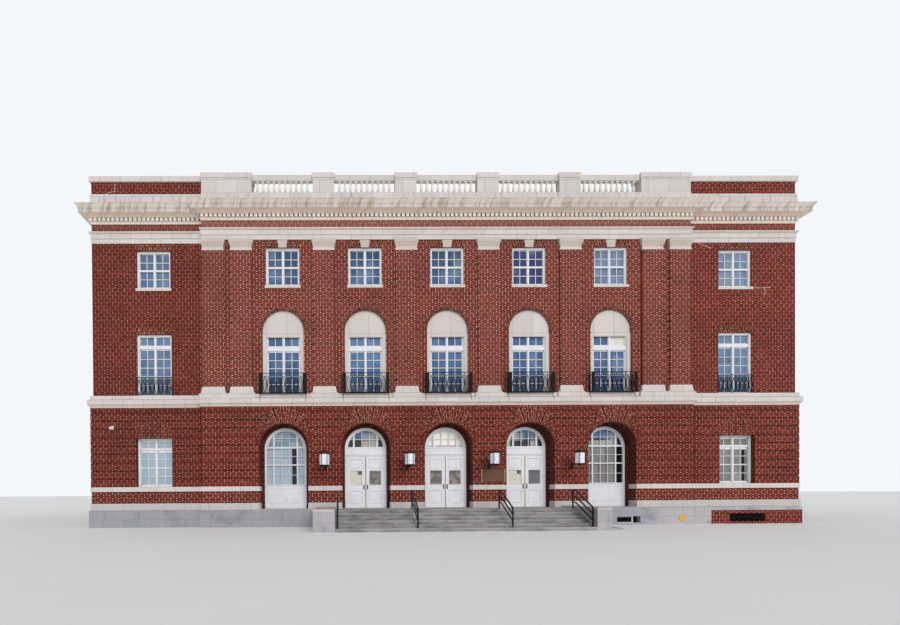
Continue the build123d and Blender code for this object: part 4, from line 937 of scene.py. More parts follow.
# Stone trim
class COURTHOUSE_OT_cornice(bpy.types.Operator):
    """Dentils under the cornice"""
    bl_idname = "courthouse.cornice"
    bl_label = "Cornice dentils"

    def execute(self, context):
        pitch, wide, deep, behind = 0.235, 0.148, 0.09, 0.08
        tooth = blocks([(0.0, wide, *DENTIL_HEIGHTS, -0.01, 0.075)])
        middle, wing, side = MIDDLE_HALF + deep, WING_HALF + deep, DEPTH / 2 + deep
        made = []
        for wall, low, high, out in (("front", -middle, middle, ENTABLATURE_OUT + deep),
                                     ("front", -wing, -middle - behind, deep),
                                     ("front", middle + behind, wing, deep),
                                     ("back", -wing, wing, deep),
                                     ("left", -side, side, deep), ("right", -side, side, deep)):
            count = int((high - low) / pitch)
            start = low + ((high - low) - count * pitch) / 2 + (pitch - wide) / 2
            places = start + pitch * np.arange(count)
            made.append(on_side(wall, repeated(tooth, spread_out(places, 0.0, out))))
        add_piece("cornice_dentils", joined(made), "tooth")
        return {"FINISHED"}


END_PILASTER = 12.415
PILASTER_X = np.concatenate([[-END_PILASTER], PIER_X, [END_PILASTER]])


class COURTHOUSE_OT_pedestals(bpy.types.Operator):
    """Stone pedestals that swell out of the belt course under the pilasters"""
    bl_idname = "courthouse.pedestals"
    bl_label = "Pilaster pedestals"

    def execute(self, context):
        half, front = 0.625, MIDDLE_OUT + 0.107
        path = [(-half, MIDDLE_OUT), (-half, front), (half, front), (half, MIDDLE_OUT)]
        section = [(-0.02, 6.79), (0.115, 6.79), (0.115, 7.02), (0.105, 7.05), (0.088, 7.075), (0.045, 7.105),
                   (0.018, 7.15), (0.005, 7.19), (-0.02, 7.19)]
        shape = on_rows(in_plan(carried(path, section)), [("front", PILASTER_X, 0.0)])
        add_piece("pilaster_pedestals", shape, "stone")
        return {"FINISHED"}


BALUSTER_CURVE = np.array([
    (0.078, 0.0), (0.078, 0.05), (0.060, 0.06), (0.048, 0.085), (0.054, 0.115), (0.070, 0.16), (0.083, 0.22),
    (0.083, 0.26), (0.072, 0.33), (0.055, 0.40), (0.041, 0.46), (0.036, 0.50), (0.040, 0.53), (0.056, 0.545),
    (0.056, 0.565), (0.044, 0.575), (0.060, 0.59), (0.070, 0.60), (0.070, 0.64)])
CURVE_HIGH = BALUSTER_CURVE[-1, 1]
RAIL_SECTION = [(0.0, -0.12), (0.05, -0.12), (0.10, -0.135), (0.20, -0.135), (0.24, -0.15), (0.29, -0.15),
                (0.29, 0.15), (0.24, 0.15), (0.20, 0.135), (0.10, 0.135), (0.05, 0.12), (0.0, 0.12)]
PEDESTAL_HALF, PEDESTAL_DEEP = 0.565, 0.21
CAP_PROUD, CAP_FOOT, CAP_TOP = 0.045, 0.10, 0.35
PARAPET_REAR, COPING_OUT = -0.42, 0.0905


class COURTHOUSE_OT_balustrade(bpy.types.Operator):
    """Turned stone balusters with square feet and caps, their rail and the pedestals' caps"""
    bl_idname = "courthouse.balustrade"
    bl_label = "Balusters"

    def execute(self, context):
        low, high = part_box("balusters")
        middle, tall, half = (low.y + high.y) / 2, high.z - low.z, 0.083
        pitch = (BAY - 2 * PEDESTAL_HALF) / 11
        places = (PIER_X[:5, None] + PEDESTAL_HALF + pitch * np.arange(1, 11)[None]).ravel()
        square = (-half, half, -half, half)
        one = joined([turned(BALUSTER_CURVE * [1, tall / CURVE_HIGH], 12, np.pi / 12),
                      blocks([(*square, 0.0, 0.05), (*square, tall - 0.045, tall)])])
        add_piece("turned_balusters", repeated(one, spread_out(places, middle, low.z)), "tooth",
                  stands_for=["balusters"])
        self.rails(-middle, high.z)
        return {"FINISHED"}

    def rails(self, out, foot):
        """Moulded rails between the pedestals, and a neck and a cap on each pedestal."""
        made = [moved(carried([(a + PEDESTAL_HALF, 0.0), (b - PEDESTAL_HALF, 0.0)], RAIL_SECTION),
                      [0.0, foot, out]) for a, b in zip(PIER_X, PIER_X[1:])]
        for grow, low, high in ((0.0, foot, foot + CAP_FOOT), (CAP_PROUD, foot + CAP_FOOT, foot + CAP_TOP)):
            wide, deep = PEDESTAL_HALF + grow, PEDESTAL_DEEP + grow
            made.append(blocks([(x - wide, x + wide, low, high, out - deep, out + deep)
                                for x in PIER_X[1:-1]]))
            front, inner = out + deep, PIER_X[-1] - wide
            right = [(inner, PARAPET_REAR), (MIDDLE_HALF, PARAPET_REAR), (MIDDLE_HALF, front), (inner, front)]
            if grow:
                right[2:3] = [(MIDDLE_HALF, COPING_OUT), (MIDDLE_HALF + grow, COPING_OUT),
                              (MIDDLE_HALF + grow, front)]
            for outline in (right, [(-x, y) for x, y in reversed(right)]):
                made.append(in_plan(plate(outline, low, high)))
        add_piece("balustrade_rails", on_side("front", *made), "stone",
                  stands_for=["balustrade_rail"], bevel=0.008)


# Joinery
EDGE, MULLION, BAR = 0.06, 0.10, 0.034
SASH_DEEP, SASH_BACK = 0.03, 0.055
STILES = (0.055, 0.022)           # outer and inner stile of a light
FOOT_RAIL, MEETING_HALF, MEETING_OUT = 0.08, 0.03, 0.012
PANE_FOOT, PANE_HEAD = 0.14, 0.06             # from the window's foot and from the sash's head


def light_bars(low, high, foot, top, rows):
    """Glazing bars that divide one light into two columns of equal panes."""
    half = BAR / 2
    columns, levels = np.linspace(low, high, 3)[1:-1], np.linspace(foot, top, rows + 1)[1:-1]
    return ([(x - half, x + half, foot, top, -SASH_DEEP, 0.0) for x in columns]
            + [(low, high, z - half, z + half, -SASH_DEEP, 0.0) for z in levels])


def border(low, high, foot, top, stiles, head, sill):
    """Stiles and rails of one sash as four boards."""
    return [(*span, -SASH_DEEP, 0.0) for span in (
        (low, low + stiles[0], foot, top), (high - stiles[1], high, foot, top),
        (low, high, foot, foot + sill), (low, high, top - head, top))]


def double_window(window, transom, rows, meeting, rails):
    """Boards of a window of two lights, under a transom (foot, height) if there is one: sash borders and
    glazing bars, front at out 0. The rails are the upper light's head and sill, and the sash's head."""
    width, foot, top = window
    sash_foot, sash_top = foot + EDGE, transom[0] if transom else top - EDGE
    pane_foot, pane_top = foot + PANE_FOOT, sash_top - PANE_HEAD
    light = (width - 2 * EDGE - MULLION) / 2
    spans = []
    for hand in (-1, 1):
        middle = hand * (light + MULLION) / 2
        low, high = middle - light / 2, middle + light / 2
        stiles = STILES[::-hand]
        a, b = low + stiles[0], high - stiles[1]
        if transom:
            light_foot, light_top = sum(transom), top - EDGE
            spans += border(low, high, light_foot, light_top, stiles, rails[0], rails[1])
            spans += light_bars(a, b, light_foot + rails[1], light_top - rails[0], 1)
        spans += border(low, high, sash_foot, sash_top, stiles, rails[2], FOOT_RAIL)
        if meeting:
            half = (sash_foot + sash_top) / 2
            under, over = half - MEETING_HALF, half + MEETING_HALF
            spans.append((low, high, under, over, -SASH_DEEP, MEETING_OUT))
            spans += light_bars(a, b, pane_foot, under, rows // 2)
            spans += light_bars(a, b, over, pane_top, rows // 2)
        else:
            spans += light_bars(a, b, pane_foot, pane_top, rows)
    return blocks(spans)


CASING = [(-0.01, -0.02), (0.085, -0.02), (0.085, 0.012), (0.055, 0.024), (0.02, 0.024), (-0.01, 0.05)]
SURROUND = [(0.0, -0.05), (0.20, -0.05), (0.20, 0.0), (0.17, 0.025), (0.03, 0.025), (0.0, 0.04)]
GROUND_IN, TALL_IN, ARCHED_IN = -0.25, -0.12, -0.14      # casing fronts, behind the wall


def head_path(half, foot, top):
    """Path round a window: up the right jamb, over the head and down the left jamb."""
    return [(half, foot), (half, top), (-half, top), (-half, foot)]


class COURTHOUSE_OT_windows(bpy.types.Operator):
    """Sash borders, glazing bars and casings of all the square windows"""
    bl_idname = "courthouse.windows"
    bl_label = "Windows"

    def execute(self, context):
        thin, thick = (0.05, 0.05, 0.06), (0.11, 0.02, 0.14)
        for name, window, transom, rows, meeting, rails, places, out in (
                ("ground_window_bars", GROUND_WINDOW, (4.17, 0.09), 4, True, thick, GROUND_ROWS, GROUND_IN),
                ("tall_window_bars", TALL_WINDOW, (9.60, 0.16), 5, False, thin, SIDES, TALL_IN),
                ("arched_window_bars", ARCHED_WINDOW, (9.37, 0.24), 5, False, thin, MIDDLE_ROW, ARCHED_IN),
                ("top_window_bars", TOP_WINDOW, None, 4, True, thin, TOP_ROWS, TALL_IN)):
            shape = double_window(window, transom, rows, meeting, rails)
            add_piece(name, on_rows(shape, places, out - SASH_BACK), "white_wood", bevel=0.004)
        for name, rows, out, (width, foot, head) in (
                ("top_window_casings", TOP_ROWS, TALL_IN, TOP_WINDOW),
                ("tall_window_casings", SIDES, TALL_IN, TALL_WINDOW),
                ("ground_window_casings", GROUND_ROWS, GROUND_IN, GROUND_WINDOW)):
            path = head_path(width / 2 - 0.01, foot, head - 0.01)
            add_piece(name, on_rows(carried(path, CASING), rows, out), "white_wood")
        path = head_path(HOOD_R, *ARCHED_WINDOW[1:])
        add_piece("arched_window_surrounds", on_rows(carried(path, SURROUND), MIDDLE_ROW, -0.10), "stone")
        return {"FINISHED"}


LEAF_PANELS = ((0.25, 0.92), (1.25, 2.03), (2.15, 2.65))
PANEL_HALF = 0.327
PANEL_MOULD = [(-0.020, -0.001), (0.022, -0.013), (0.006, 0.008), (-0.020, 0.008)]
STRIP = np.array([(-0.030, -0.001), (-0.003, -0.001), (-0.003, 0.004), (-0.010, 0.009), (-0.023, 0.009),
                  (-0.030, 0.004)])


class COURTHOUSE_OT_doors(bpy.types.Operator):
    """Panel mouldings, brass-coloured meeting strips that are painted light through the gap, pulls and blank
    papers of the door leaves
    """
    bl_idname = "courthouse.doors"
    bl_label = "Door leaves"

    def execute(self, context):
        for body, side in DOORS:
            self.leaf(body, side)
        for body in ("door_left_left", "door_right_left"):
            self.paper(body)
        return {"FINISHED"}

    def leaf(self, body, side):
        low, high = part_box(body + "_leaf")
        middle, front = (low.x + high.x) / 2, -low.y
        meeting = low.x if side > 0 else high.x
        rims = [carried(rectangle(middle - PANEL_HALF, middle + PANEL_HALF, low.z + foot, low.z + top),
                        PANEL_MOULD, True) for foot, top in LEAF_PANELS]
        path = [(meeting, low.z + 0.01), (meeting, high.z - 0.01)]
        strip = carried(path, STRIP if side > 0 else STRIP[::-1] * [-1, 1])
        grip = meeting + side * 0.095
        back = plate(rectangle(grip - 0.032, grip + 0.032, 1.97, 2.23), -0.001, 0.007)
        bend = [(0.0, 2.00), (0.045, 2.00), (0.060, 2.02), (0.060, 2.18), (0.045, 2.20), (0.0, 2.20)]
        pull = edgewise(carried(bend, round_section(0.011, grip)))
        knob = edgewise(carried([(0.0, 1.985), (0.02, 1.985)], round_section(0.014, grip, 10)))
        # the bright brass-coloured strip on the meeting stile is painted light, standing for light through
        # the gap between the leaves
        for name, shapes, finish_name, slot in (("_mouldings", rims, "shaded_moulding", "white_wood"),
                                                ("_meeting_strip", [strip], "brass", "iron"),
                                                ("_pull", [back, pull, knob], "bronze", "iron")):
            shape = on_side("front", moved(joined(shapes), [0, 0, front]))
            add_piece(body + name, shape, finish_name, body)

    def paper(self, body):
        """A blank sheet behind the glass line, with its top corner cut away."""
        low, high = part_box(body + "_pane")
        a, b, foot, top = low.x + 0.02, high.x - 0.03, low.z + 0.02, high.z - 0.02
        outline = [(a, foot), (b, foot + 0.01), (b, top - 0.22), (b - 0.20, top - 0.20),
                   (b - 0.21, top - 0.02), (a, top)]
        shape = on_side("front", plate(outline, -low.y + 0.001, -low.y + 0.003))
        add_piece(body + "_paper", shape, "paper", body)


FAN_R = 1.04
POST = (0.605, 0.675)             # inner and outer side of the posts of the arched windows
POST_X, POST_WIDE = 0.64, 0.10
THIRD = 0.2017
BAR_BACK = -0.045
RIM = [(-0.016, -0.001), (0.016, -0.02), (0.004, 0.012), (-0.016, 0.012)]
WIDE_RIM = [(-0.016, -0.001), (0.080, -0.012), (0.074, 0.010), (-0.016, 0.014)]
FRAME_RIM = [(0.0, -0.002), (0.033, -0.002), (0.033, 0.010), (0.014, 0.024), (0.0, 0.024)]
SHELF = [(0.0, -0.004), (0.095, -0.004), (0.095, 0.046), (0.070, 0.046), (0.035, 0.020), (0.0, 0.016)]
BOARD = [(0.0, -0.004), (0.075, -0.004), (0.075, 0.018), (0.0, 0.018)]
CROSS_HALF = 0.014


def arc(radius):
    """The half circle of an arch, from right to left."""
    turn = np.linspace(0, np.pi, 29)
    return np.stack([radius * np.cos(turn), ARCH_SPRING + radius * np.sin(turn)], -1)


def fan_bars(foot, wide, cross):
    """Upright bars and stouter posts of a fan light, each as tall as the circle allows, and a cross bar."""
    spans = []
    for x, bar, front in ((-THIRD, wide, -0.006), (THIRD, wide, -0.006), (-POST_X, POST_WIDE, 0.002),
                          (POST_X, POST_WIDE, 0.002)):
        top = ARCH_SPRING + (FAN_R ** 2 - x ** 2) ** 0.5 + 0.01
        spans.append((x - bar / 2, x + bar / 2, foot, top, BAR_BACK, front))
    reach = (FAN_R ** 2 - (cross - ARCH_SPRING) ** 2) ** 0.5
    spans.append((-reach, reach, cross - CROSS_HALF, cross + CROSS_HALF, BAR_BACK, -0.008))
    return blocks(spans)


class COURTHOUSE_OT_arched_joinery(bpy.types.Operator):
    """Rims, fan bars, transoms, glazing bars and panelled aprons in the five arches"""
    bl_idname = "courthouse.arched_joinery"
    bl_label = "Arched joinery"

    def execute(self, context):
        radius, foot = FRAME_R - 0.002, 0.955
        path = np.concatenate([[(radius, foot)], arc(radius), [(-radius, foot)]])
        self.place("arch_frame_rims", [carried(path, FRAME_RIM)], BAY_X)
        fan_arc = arc(FAN_R)
        for name, bays, foot, wide, cross, paint in (
                ("door_fan_lights", BAY_X[1:4], 4.278, 0.034, 4.70, "lit_door_paint"),
                ("window_fan_lights", BAY_X[[0, 4]], 4.323, 0.028, 4.77, "white_wood")):
            edge = np.concatenate([[(-FAN_R, foot), (FAN_R, foot)], fan_arc[1:-1]])
            rims = [carried(edge, RIM, True), carried(fan_arc, WIDE_RIM)]
            self.place(name, [*rims, fan_bars(foot, wide, cross)], bays, paint)
        across_frame = [(-FRAME_R + 0.04, 0.0), (FRAME_R - 0.04, 0.0)]
        shelf = carried(across_frame, SHELF)
        rails = [moved(shelf, [0, 3.795, 0]), moved(carried(across_frame, BOARD), [0, 4.190, 0]),
                 carried(rectangle(-1.0, 1.0, 3.935, 4.165), PANEL_MOULD, True)]
        self.place("door_transoms", rails, BAY_X[1:4], "lit_door_paint")
        self.place("arched_window_joinery", [self.window(), moved(shelf, [0, 2.15, 0])], BAY_X[[0, 4]])
        for name, bays, panels in (("left_apron_mouldings", BAY_X[:1], ((-0.98, -0.06), (0.06, 0.98))),
                                   ("right_apron_mouldings", BAY_X[4:], ((-0.94, 0.94),))):
            rims = [carried(rectangle(a, b, 1.25, 2.03), PANEL_MOULD, True) for a, b in panels]
            self.place(name, rims, bays, "shaded_moulding")
        return {"FINISHED"}

    def window(self):
        """Glazing bars, meeting rail and foot board of an arched window."""
        spans = []
        for foot, top in ((2.26, 3.30), (3.36, 4.233)):
            half = (foot + top) / 2
            spans += [(x - 0.014, x + 0.014, foot, top, BAR_BACK, -0.006) for x in (-THIRD, THIRD)]
            spans += [(a, b, half - 0.013, half + 0.013, BAR_BACK, -0.008)
                      for a, b in ((-POST[0], POST[0]), (-FAN_R, -POST[1]), (POST[1], FAN_R))]
        spans += [(-FAN_R, FAN_R, 3.298, 3.362, -0.03, 0.010)]
        spans += [(-FRAME_R + 0.04, FRAME_R - 0.04, 0.955, 1.12, -0.004, 0.016)]
        return blocks(spans)

    def place(self, name, shapes, bays, finish_name="white_wood"):
        shape = on_rows(joined(shapes), [("front", bays, FRAME_OUT)])
        add_piece(name, shape, finish_name, bevel=0.003)


# Ironwork
class COURTHOUSE_OT_balconies(bpy.types.Operator):
    """Iron balconies and window screens with bowed bars, in place of the plain ones"""
    bl_idname = "courthouse.balconies"
    bl_label = "Balconies"

    def execute(self, context):
        half, high, deep = 1.225, 1.05, 0.33
        ends = [(s * 1.215 - 0.01, s * 1.215 + 0.01) for s in (-1, 1)]
        returns = [(a, b, foot, top, 0.0, deep) for a, b in ends
                   for foot, top in ((0.0, 0.025), (high - 0.19, high - 0.172), (high - 0.03, high))]
        returns += [(a, b, 0.0, high, out - 0.008, out + 0.008) for a, b in ends for out in (0.09, 0.19)]
        returns += [(-half, half, 0.0, 0.014, 0.0, deep)]
        lugs = [(a, b, foot, foot + 0.022, 0.0, 0.045) for a, b in ((-0.95, -0.92), (0.92, 0.95))
                for foot in (0.06, 0.988)]
        made = []
        for spans, row, screen in ((returns, MIDDLE_ROW, self.screen(half, 0.0, high, deep, 0.175, 9)),
                                   (lugs, SIDES[:1], self.screen(0.95, 0.06, 1.01, 0.052, 0.0, 8))):
            made.append(on_rows(moved(joined([*screen, blocks(spans)]), [0, BELT_TOP, 0]), row))
        add_piece("bowed_iron_balconies", joined(made), "iron", stands_for=["balconies"])
        return {"FINISHED"}

    def screen(self, half, foot, top, out, end, count):
        """Rails, end panels and pairs of bars that bow apart, with straight bars and collars between."""
        back = out - 0.022
        inner = half - max(end, 0.022)
        end_middle, end_half = (half + inner) / 2, (half - inner) / 2
        frieze_foot, frieze_top = top - 0.19, top - 0.172
        spans = [(-half, half, top - 0.035, top, back, out), (-half, half, foot, foot + 0.028, back, out),
                 (-half, half, frieze_foot, frieze_top, back + 0.003, out - 0.003)]
        spans += [(s * end_middle - end_half, s * end_middle + end_half, foot, top, back + 0.004, out - 0.004)
                  for s in (-1, 1)]
        edges = np.linspace(-inner, inner, count + 1)
        middle = (foot + frieze_foot) / 2
        spans += [(x - 0.010, x + 0.010, foot, top, back + 0.002, out - 0.002) for x in edges[1:-1]]
        spans += [(x - 0.024, x + 0.024, middle - 0.030, middle + 0.030, back, out) for x in edges[1:-1]]
        reach = (edges[1] - edges[0]) * 0.40
        bars = [bowed_bar(x, foot + 0.028, frieze_foot, s * reach, 0.011, out - 0.013)
                for x in (edges[:-1] + edges[1:]) / 2 for s in (-1, 1)]
        for s in (-1, 1) if end else ():
            x, rim_half = s * end_middle, end / 2 - 0.015
            rim = rectangle(x - rim_half, x + rim_half, foot + 0.03, top - 0.05)
            bars.append(carried(rim, [(-0.012, out - 0.006), (0.012, out - 0.006), (0.0, out + 0.004)], True))
            bars += [bowed_bar(x, foot + 0.06, top - 0.08, t * 0.05, 0.007, out - 0.003) for t in (-1, 1)]
        return [blocks(spans), *bars]


RAIL_X = (-5.88, -2.185, 2.185, 5.88)
POSTS_OUT = (1.81, 3.575)
RAIL_FEET = (0.948, RISER)


class COURTHOUSE_OT_handrails(bpy.types.Operator):
    """Round iron handrails: a top rail bent into its two posts, and two rails under it"""
    bl_idname = "courthouse.handrails"
    bl_label = "Handrails"

    def execute(self, context):
        (upper, lower), (high, low) = POSTS_OUT, RAIL_FEET
        level, rise = upper + 0.26, 0.90
        bend = [(upper, high), (upper, high + 0.82), (upper + 0.025, high + 0.875),
                (upper + 0.08, high + rise), (level - 0.03, high + rise), (level + 0.03, high + rise - 0.016),
                (lower - 0.07, low + rise + 0.04), (lower - 0.015, low + rise - 0.01),
                (lower, low + rise - 0.07), (lower, low)]
        pipes = [edgewise(carried(bend, round_section(0.038, 0.0)))]
        for drop in (0.30, 0.60):
            path = [(upper, high + rise - drop), (level, high + rise - drop), (lower, low + rise - drop)]
            pipes.append(edgewise(carried(path, round_section(0.034, 0.0))))
        add_piece("round_handrails", on_rows(joined(pipes), [("front", RAIL_X, 0.0)]), "iron",
                  stands_for=["handrails"])
        return {"FINISHED"}


LANTERN_X = PIER_X[1:-1]
LANTERN_OUT, LANTERN_R = 1.24, 0.28


class COURTHOUSE_OT_lanterns(bpy.types.Operator):
    """Six-sided lanterns: glass panes in an iron frame with a bell cap, on curved brackets"""
    bl_idname = "courthouse.lanterns"
    bl_label = "Lanterns"

    def execute(self, context):
        cap = [(0.272, 3.775), (0.28, 3.785), (0.28, 3.815), (0.262, 3.825), (0.235, 3.850), (0.165, 3.895),
               (0.085, 3.920), (0.045, 3.930), (0.030, 3.950), (0.042, 3.965), (0.030, 3.982), (0.008, 3.990)]
        tray = [(0.010, 3.062), (0.034, 3.080), (0.040, 3.100), (0.022, 3.125), (0.045, 3.140),
                (0.110, 3.160), (0.245, 3.180), (0.278, 3.192), (0.278, 3.222), (0.266, 3.228)]
        panes = [(0.245, 3.21), (0.252, 3.26), (0.256, 3.50), (0.252, 3.74), (0.245, 3.79)]
        turns = np.arange(6) * np.pi / 3
        corner = LANTERN_R - 0.014
        corners = np.stack([corner * np.cos(turns), corner * np.sin(turns), np.zeros(6)], -1)
        rod = turned([(0.0135, 3.20), (0.0135, 3.80)], 6)
        cage = joined([turned(cap, 6), turned(tray, 6), repeated(rod, corners)])
        offsets = spread_out(LANTERN_X, -LANTERN_OUT, 0.0)
        bend = np.linspace(0, 1, 13)
        arm = np.stack([ENTRY_OUT + (LANTERN_OUT - ENTRY_OUT) * bend,
                        3.12 + 0.13 * np.sin(np.pi * bend) - 0.03 * bend], -1)
        arm = edgewise(carried(arm, round_section(0.018, 0.0)))
        boss = [(-0.025, 0.0), (0.054, 0.0), (0.054, 0.03), (0.0, 0.038), (-0.025, 0.025)]
        base = moved(carried(rectangle(-0.055, 0.055, 3.06, 3.32), boss, True), [0, 0, ENTRY_OUT])
        fixed = on_rows(joined([arm, base]), [("front", LANTERN_X, 0.0)])
        add_piece("lantern_ironwork", joined([repeated(cage, offsets), fixed]), "iron",
                  stands_for=["lanterns"])
        add_piece("lantern_panes", repeated(turned(panes, 6), offsets), "opal")
        return {"FINISHED"}


# Small pieces
PLAQUE = (1.80, 2.94, 2.32, 3.01)
PLAQUE_FIELD = (1.84, 2.90, 2.36, 2.97)
BLIND = (2 * BAY + 0.05, 2 * BAY + 0.86, 9.66, 10.18)
LOW_SLOT = (8.92, 10.18, 0.08, 0.47)          # basement windows: both sides, foot and top
WIDE_SLOT = (15.22, 17.16, 0.12, 0.55)
DISC_PLACE = [12.39, 0.32, 0.49]
DOME_X, DOME_REACH, DOME_UP = -17.9, 0.22, 5.29


class COURTHOUSE_OT_fixings(bpy.types.Operator):
    """Plaque, small dome, yellow disc, basement bars, rail flanges, mortar repairs and one blind"""
    bl_idname = "courthouse.fixings"
    bl_label = "Small fixings"

    def execute(self, context):
        self.plaque()
        self.watcher()
        disc = turned([(0.02, 0.0), (0.15, 0.0), (0.16, 0.006), (0.16, 0.018), (0.15, 0.024), (0.05, 0.030),
                       (0.012, 0.032)], 28)
        self.front("yellow_disc", [moved(disc, DISC_PLACE)], "yellow", "iron")
        self.basement()
        flange = turned([(0.055, 0.0), (0.055, 0.010), (0.045, 0.018), (0.028, 0.022), (0.026, 0.045)], 16)
        feet = [(x, -out, z) for x in RAIL_X for out, z in zip(POSTS_OUT, RAIL_FEET)]
        add_piece("rail_flanges", repeated(flange, feet), "iron")
        self.repairs()
        self.front("transom_blind", [plate(rectangle(*BLIND), 0.0705, 0.0735)], "paper", "white_wood")
        return {"FINISHED"}

    def front(self, name, shapes, finish_name, slot, bevel=0.0):
        add_piece(name, on_side("front", *shapes), finish_name, bevel=bevel)

    def plaque(self):
        """A bare bronze plate in a moulded rim, with a brass edge at each side."""
        rim = [(0.0, 0.0), (0.07, 0.0), (0.07, 0.036), (0.045, 0.050), (0.015, 0.050), (0.0, 0.030)]
        edge = [(-0.018, 0.0), (0.018, 0.0), (0.018, 0.036), (0.0, 0.046), (-0.018, 0.036)]
        parts = [plate(rectangle(*PLAQUE_FIELD), 0.0, 0.036), carried(rectangle(*PLAQUE), rim, True)]
        edges = [carried([(x, 2.30), (x, 3.03)], edge) for x in (1.76, 2.98)]
        out = [0, 0, ENTRY_OUT]
        self.front("plaque", [moved(part, out) for part in parts], "bronze", "iron", 0.002)
        self.front("plaque_edges", [moved(part, out) for part in edges], "brass", "iron")

    def watcher(self):
        """A small dome on an arm."""
        dome = turned([(0.010, -0.075), (0.045, -0.062), (0.068, -0.03), (0.072, 0.0), (0.080, 0.005),
                       (0.080, 0.045), (0.060, 0.06), (0.012, 0.065)], 18)
        dome = moved(dome, [DOME_X, -GROUND_OUT - DOME_REACH, DOME_UP])
        arm = blocks([(-17.925, -17.875, 5.32, 5.36, GROUND_OUT, GROUND_OUT + DOME_REACH),
                      (-17.96, -17.84, 5.24, 5.44, GROUND_OUT, GROUND_OUT + 0.045)])
        add_piece("watching_dome", joined([dome, on_side("front", arm)]), "white_wood", bevel=0.004)

    def basement(self):
        """Iron bars with pale ends before the basement's two low windows."""
        (a, b, foot, top), (low, high, *wide) = LOW_SLOT, WIDE_SLOT
        near, far = np.linspace(9.00, 9.66, 7), np.linspace(15.34, 17.04, 15)
        bars = [(x - 0.013, x + 0.013, foot, top, 0.40, 0.426) for x in near]
        bars += [(x - 0.012, x + 0.012, *wide, 0.10, 0.124) for x in far]
        bars += [(low, high, 0.32, 0.345, 0.098, 0.126)]
        ends = [(x - 0.022, x + 0.022, *span, 0.395, 0.43)
                for x in near for span in ((foot, 0.15), (0.40, top))]
        ends += [(9.75, 9.80, foot, top, 0.38, 0.43), (a, b, foot, 0.10, 0.36, 0.44),
                 (a, b, 0.45, top, 0.36, 0.44)]
        # painted shade: dark sheets in the slots stand for the shaded hollow behind the basement windows
        dark = [(*LOW_SLOT, 0.10, 0.12), (*WIDE_SLOT, -0.06, -0.04)]
        self.front("basement_bars", [blocks(bars)], "iron", "iron", 0.003)
        self.front("basement_window_frame", [blocks(ends)], "white_wood", "white_wood", 0.003)
        self.front("basement_panes", [blocks(dark)], "shade_hollow", "glass", 0.004)

    def repairs(self):
        """Pale mortar smeared over old cracks."""
        cracks = ([(16.55, 12.76), (17.05, 12.75), (17.62, 12.77)],
                  [(17.30, 12.755), (17.33, 12.58), (17.27, 12.36)],
                  [(13.72, 15.17), (14.05, 15.02), (14.42, 14.90)],
                  [(-17.72, 18.40), (-17.68, 18.28), (-17.74, 18.16), (-17.70, 18.00), (-18.00, 17.93),
                   (-18.22, 17.86)])
        smear = [(-0.011, -0.002), (0.011, -0.002), (0.0055, 0.004), (-0.0055, 0.004)]
        self.front("mortar_repairs", [carried(path, smear) for path in cracks], "paper", "brick")


CAMERA_PLACE, CAMERA_TURN = (-5.605, -23.76, 1.811), (89.668, 0.376, -0.468)
CAMERA_SHIFT, FAR_CLIP = (0.1146, 0.2028), 500.0
LAMP_TURN, LAMP_WIDE = (66.0, 0.0, 16.0), 28.0


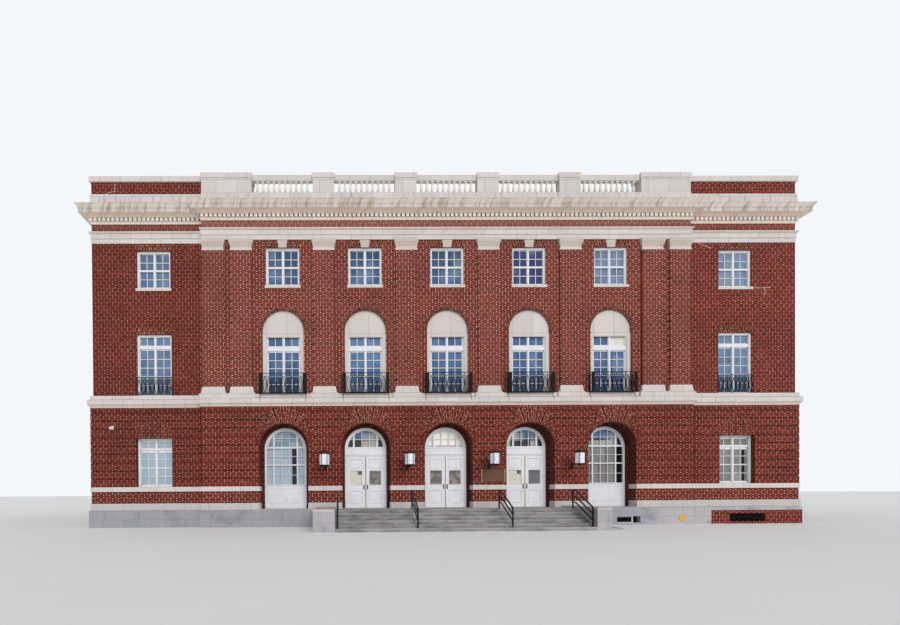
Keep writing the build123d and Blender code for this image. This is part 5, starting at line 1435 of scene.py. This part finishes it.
class COURTHOUSE_OT_stage(bpy.types.Operator):
    """Floor, even light, soft lamp and the camera"""
    bl_idname = "courthouse.stage"
    bl_label = "Stage"

    def execute(self, context):
        look = context.scene.courthouse_stage
        self.floor()
        self.light(look)
        data = bpy.data.cameras.new("camera")
        data.lens, data.clip_end = look.lens, FAR_CLIP
        data.shift_x, data.shift_y = CAMERA_SHIFT
        camera = self.linked("camera", data)
        camera.location = CAMERA_PLACE
        camera.rotation_euler = [math.radians(turn) for turn in CAMERA_TURN]
        context.scene.camera = camera
        context.scene.view_settings.view_transform = "Standard"
        return {"FINISHED"}

    def linked(self, name, data):
        made = bpy.data.objects.new(name, data)
        bpy.context.scene.collection.objects.link(made)
        return made

    def floor(self):
        reach = 400.0
        mesh = bpy.data.meshes.new("floor")
        mesh.from_pydata([(-reach, -reach, 0), (reach, -reach, 0), (reach, reach, 0), (-reach, reach, 0)], [],
                         [(0, 1, 2, 3)])
        m = material("stage_floor")
        color = m.mix((0.86, 0.86, 0.86), (0.83, 0.83, 0.83), m.grain(0.4, 2.0))
        mesh.materials.append(m.surface(color, 0.9))
        self.linked("stage_floor", mesh)

    def light(self, look):
        """An even sky that is seen paler than it lights, and one wide soft lamp."""
        world = bpy.data.worlds.new("sky")
        bpy.context.scene.world = world
        m = Finish(world)
        seen = m.node("ShaderNodeBackground", {}, {"Color": (0.90, 0.93, 0.97)})
        lit = m.node("ShaderNodeBackground", {}, {"Color": (0.97, 0.985, 1.0), "Strength": look.sky})
        rays = [m.node("ShaderNodeLightPath", {}, {}, f"Is {kind} Ray")
                for kind in ("Camera", "Glossy", "Transmission")]
        shown = m.node("ShaderNodeMixShader", {},
                       {"Fac": rays[0].most(rays[1]).most(rays[2]), "Shader": lit, "Shader_001": seen})
        m.node("ShaderNodeOutputWorld", {}, {"Surface": shown})
        data = bpy.data.lights.new("soft_lamp", "SUN")
        data.energy, data.angle = look.lamp, math.radians(LAMP_WIDE)
        lamp = self.linked("soft_lamp", data)
        lamp.rotation_euler = [math.radians(turn) for turn in LAMP_TURN]
        lamp.visible_glossy = False


STEPS = (COURTHOUSE_OT_finishes, COURTHOUSE_OT_bands, COURTHOUSE_OT_arches, COURTHOUSE_OT_cornice,
         COURTHOUSE_OT_pedestals, COURTHOUSE_OT_balustrade, COURTHOUSE_OT_windows, COURTHOUSE_OT_doors,
         COURTHOUSE_OT_arched_joinery, COURTHOUSE_OT_balconies, COURTHOUSE_OT_handrails,
         COURTHOUSE_OT_lanterns, COURTHOUSE_OT_fixings, COURTHOUSE_OT_stage)
GROUPS = {"courthouse_brick": COURTHOUSE_PG_brick, "courthouse_trim": COURTHOUSE_PG_trim,
          "courthouse_stage": COURTHOUSE_PG_stage}


class COURTHOUSE_PT_panel(bpy.types.Panel):
    """Lists the courthouse's settings and pieces"""
    bl_label = "Courthouse"
    bl_idname = "COURTHOUSE_PT_panel"
    bl_space_type = "VIEW_3D"
    bl_region_type = "UI"
    bl_category = "Courthouse"

    def draw(self, context):
        for group in GROUPS:
            settings = getattr(context.scene, group)
            for name in settings.__annotations__:
                self.layout.prop(settings, name)
        for step in STEPS:
            self.layout.operator(step.bl_idname)


def register():
    for group in (*GROUPS.values(), *STEPS, COURTHOUSE_PT_panel):
        bpy.utils.register_class(group)
    for name, group in GROUPS.items():
        setattr(bpy.types.Scene, name, bpy.props.PointerProperty(type=group))


def unregister():
    for name in GROUPS:
        delattr(bpy.types.Scene, name)
    for group in (COURTHOUSE_PT_panel, *reversed(STEPS), *GROUPS.values()):
        bpy.utils.unregister_class(group)


def main():
    register()
    for step in STEPS:
        getattr(bpy.ops.courthouse, step.bl_idname.split(".")[1])()


if __name__ == "__main__":
    main()
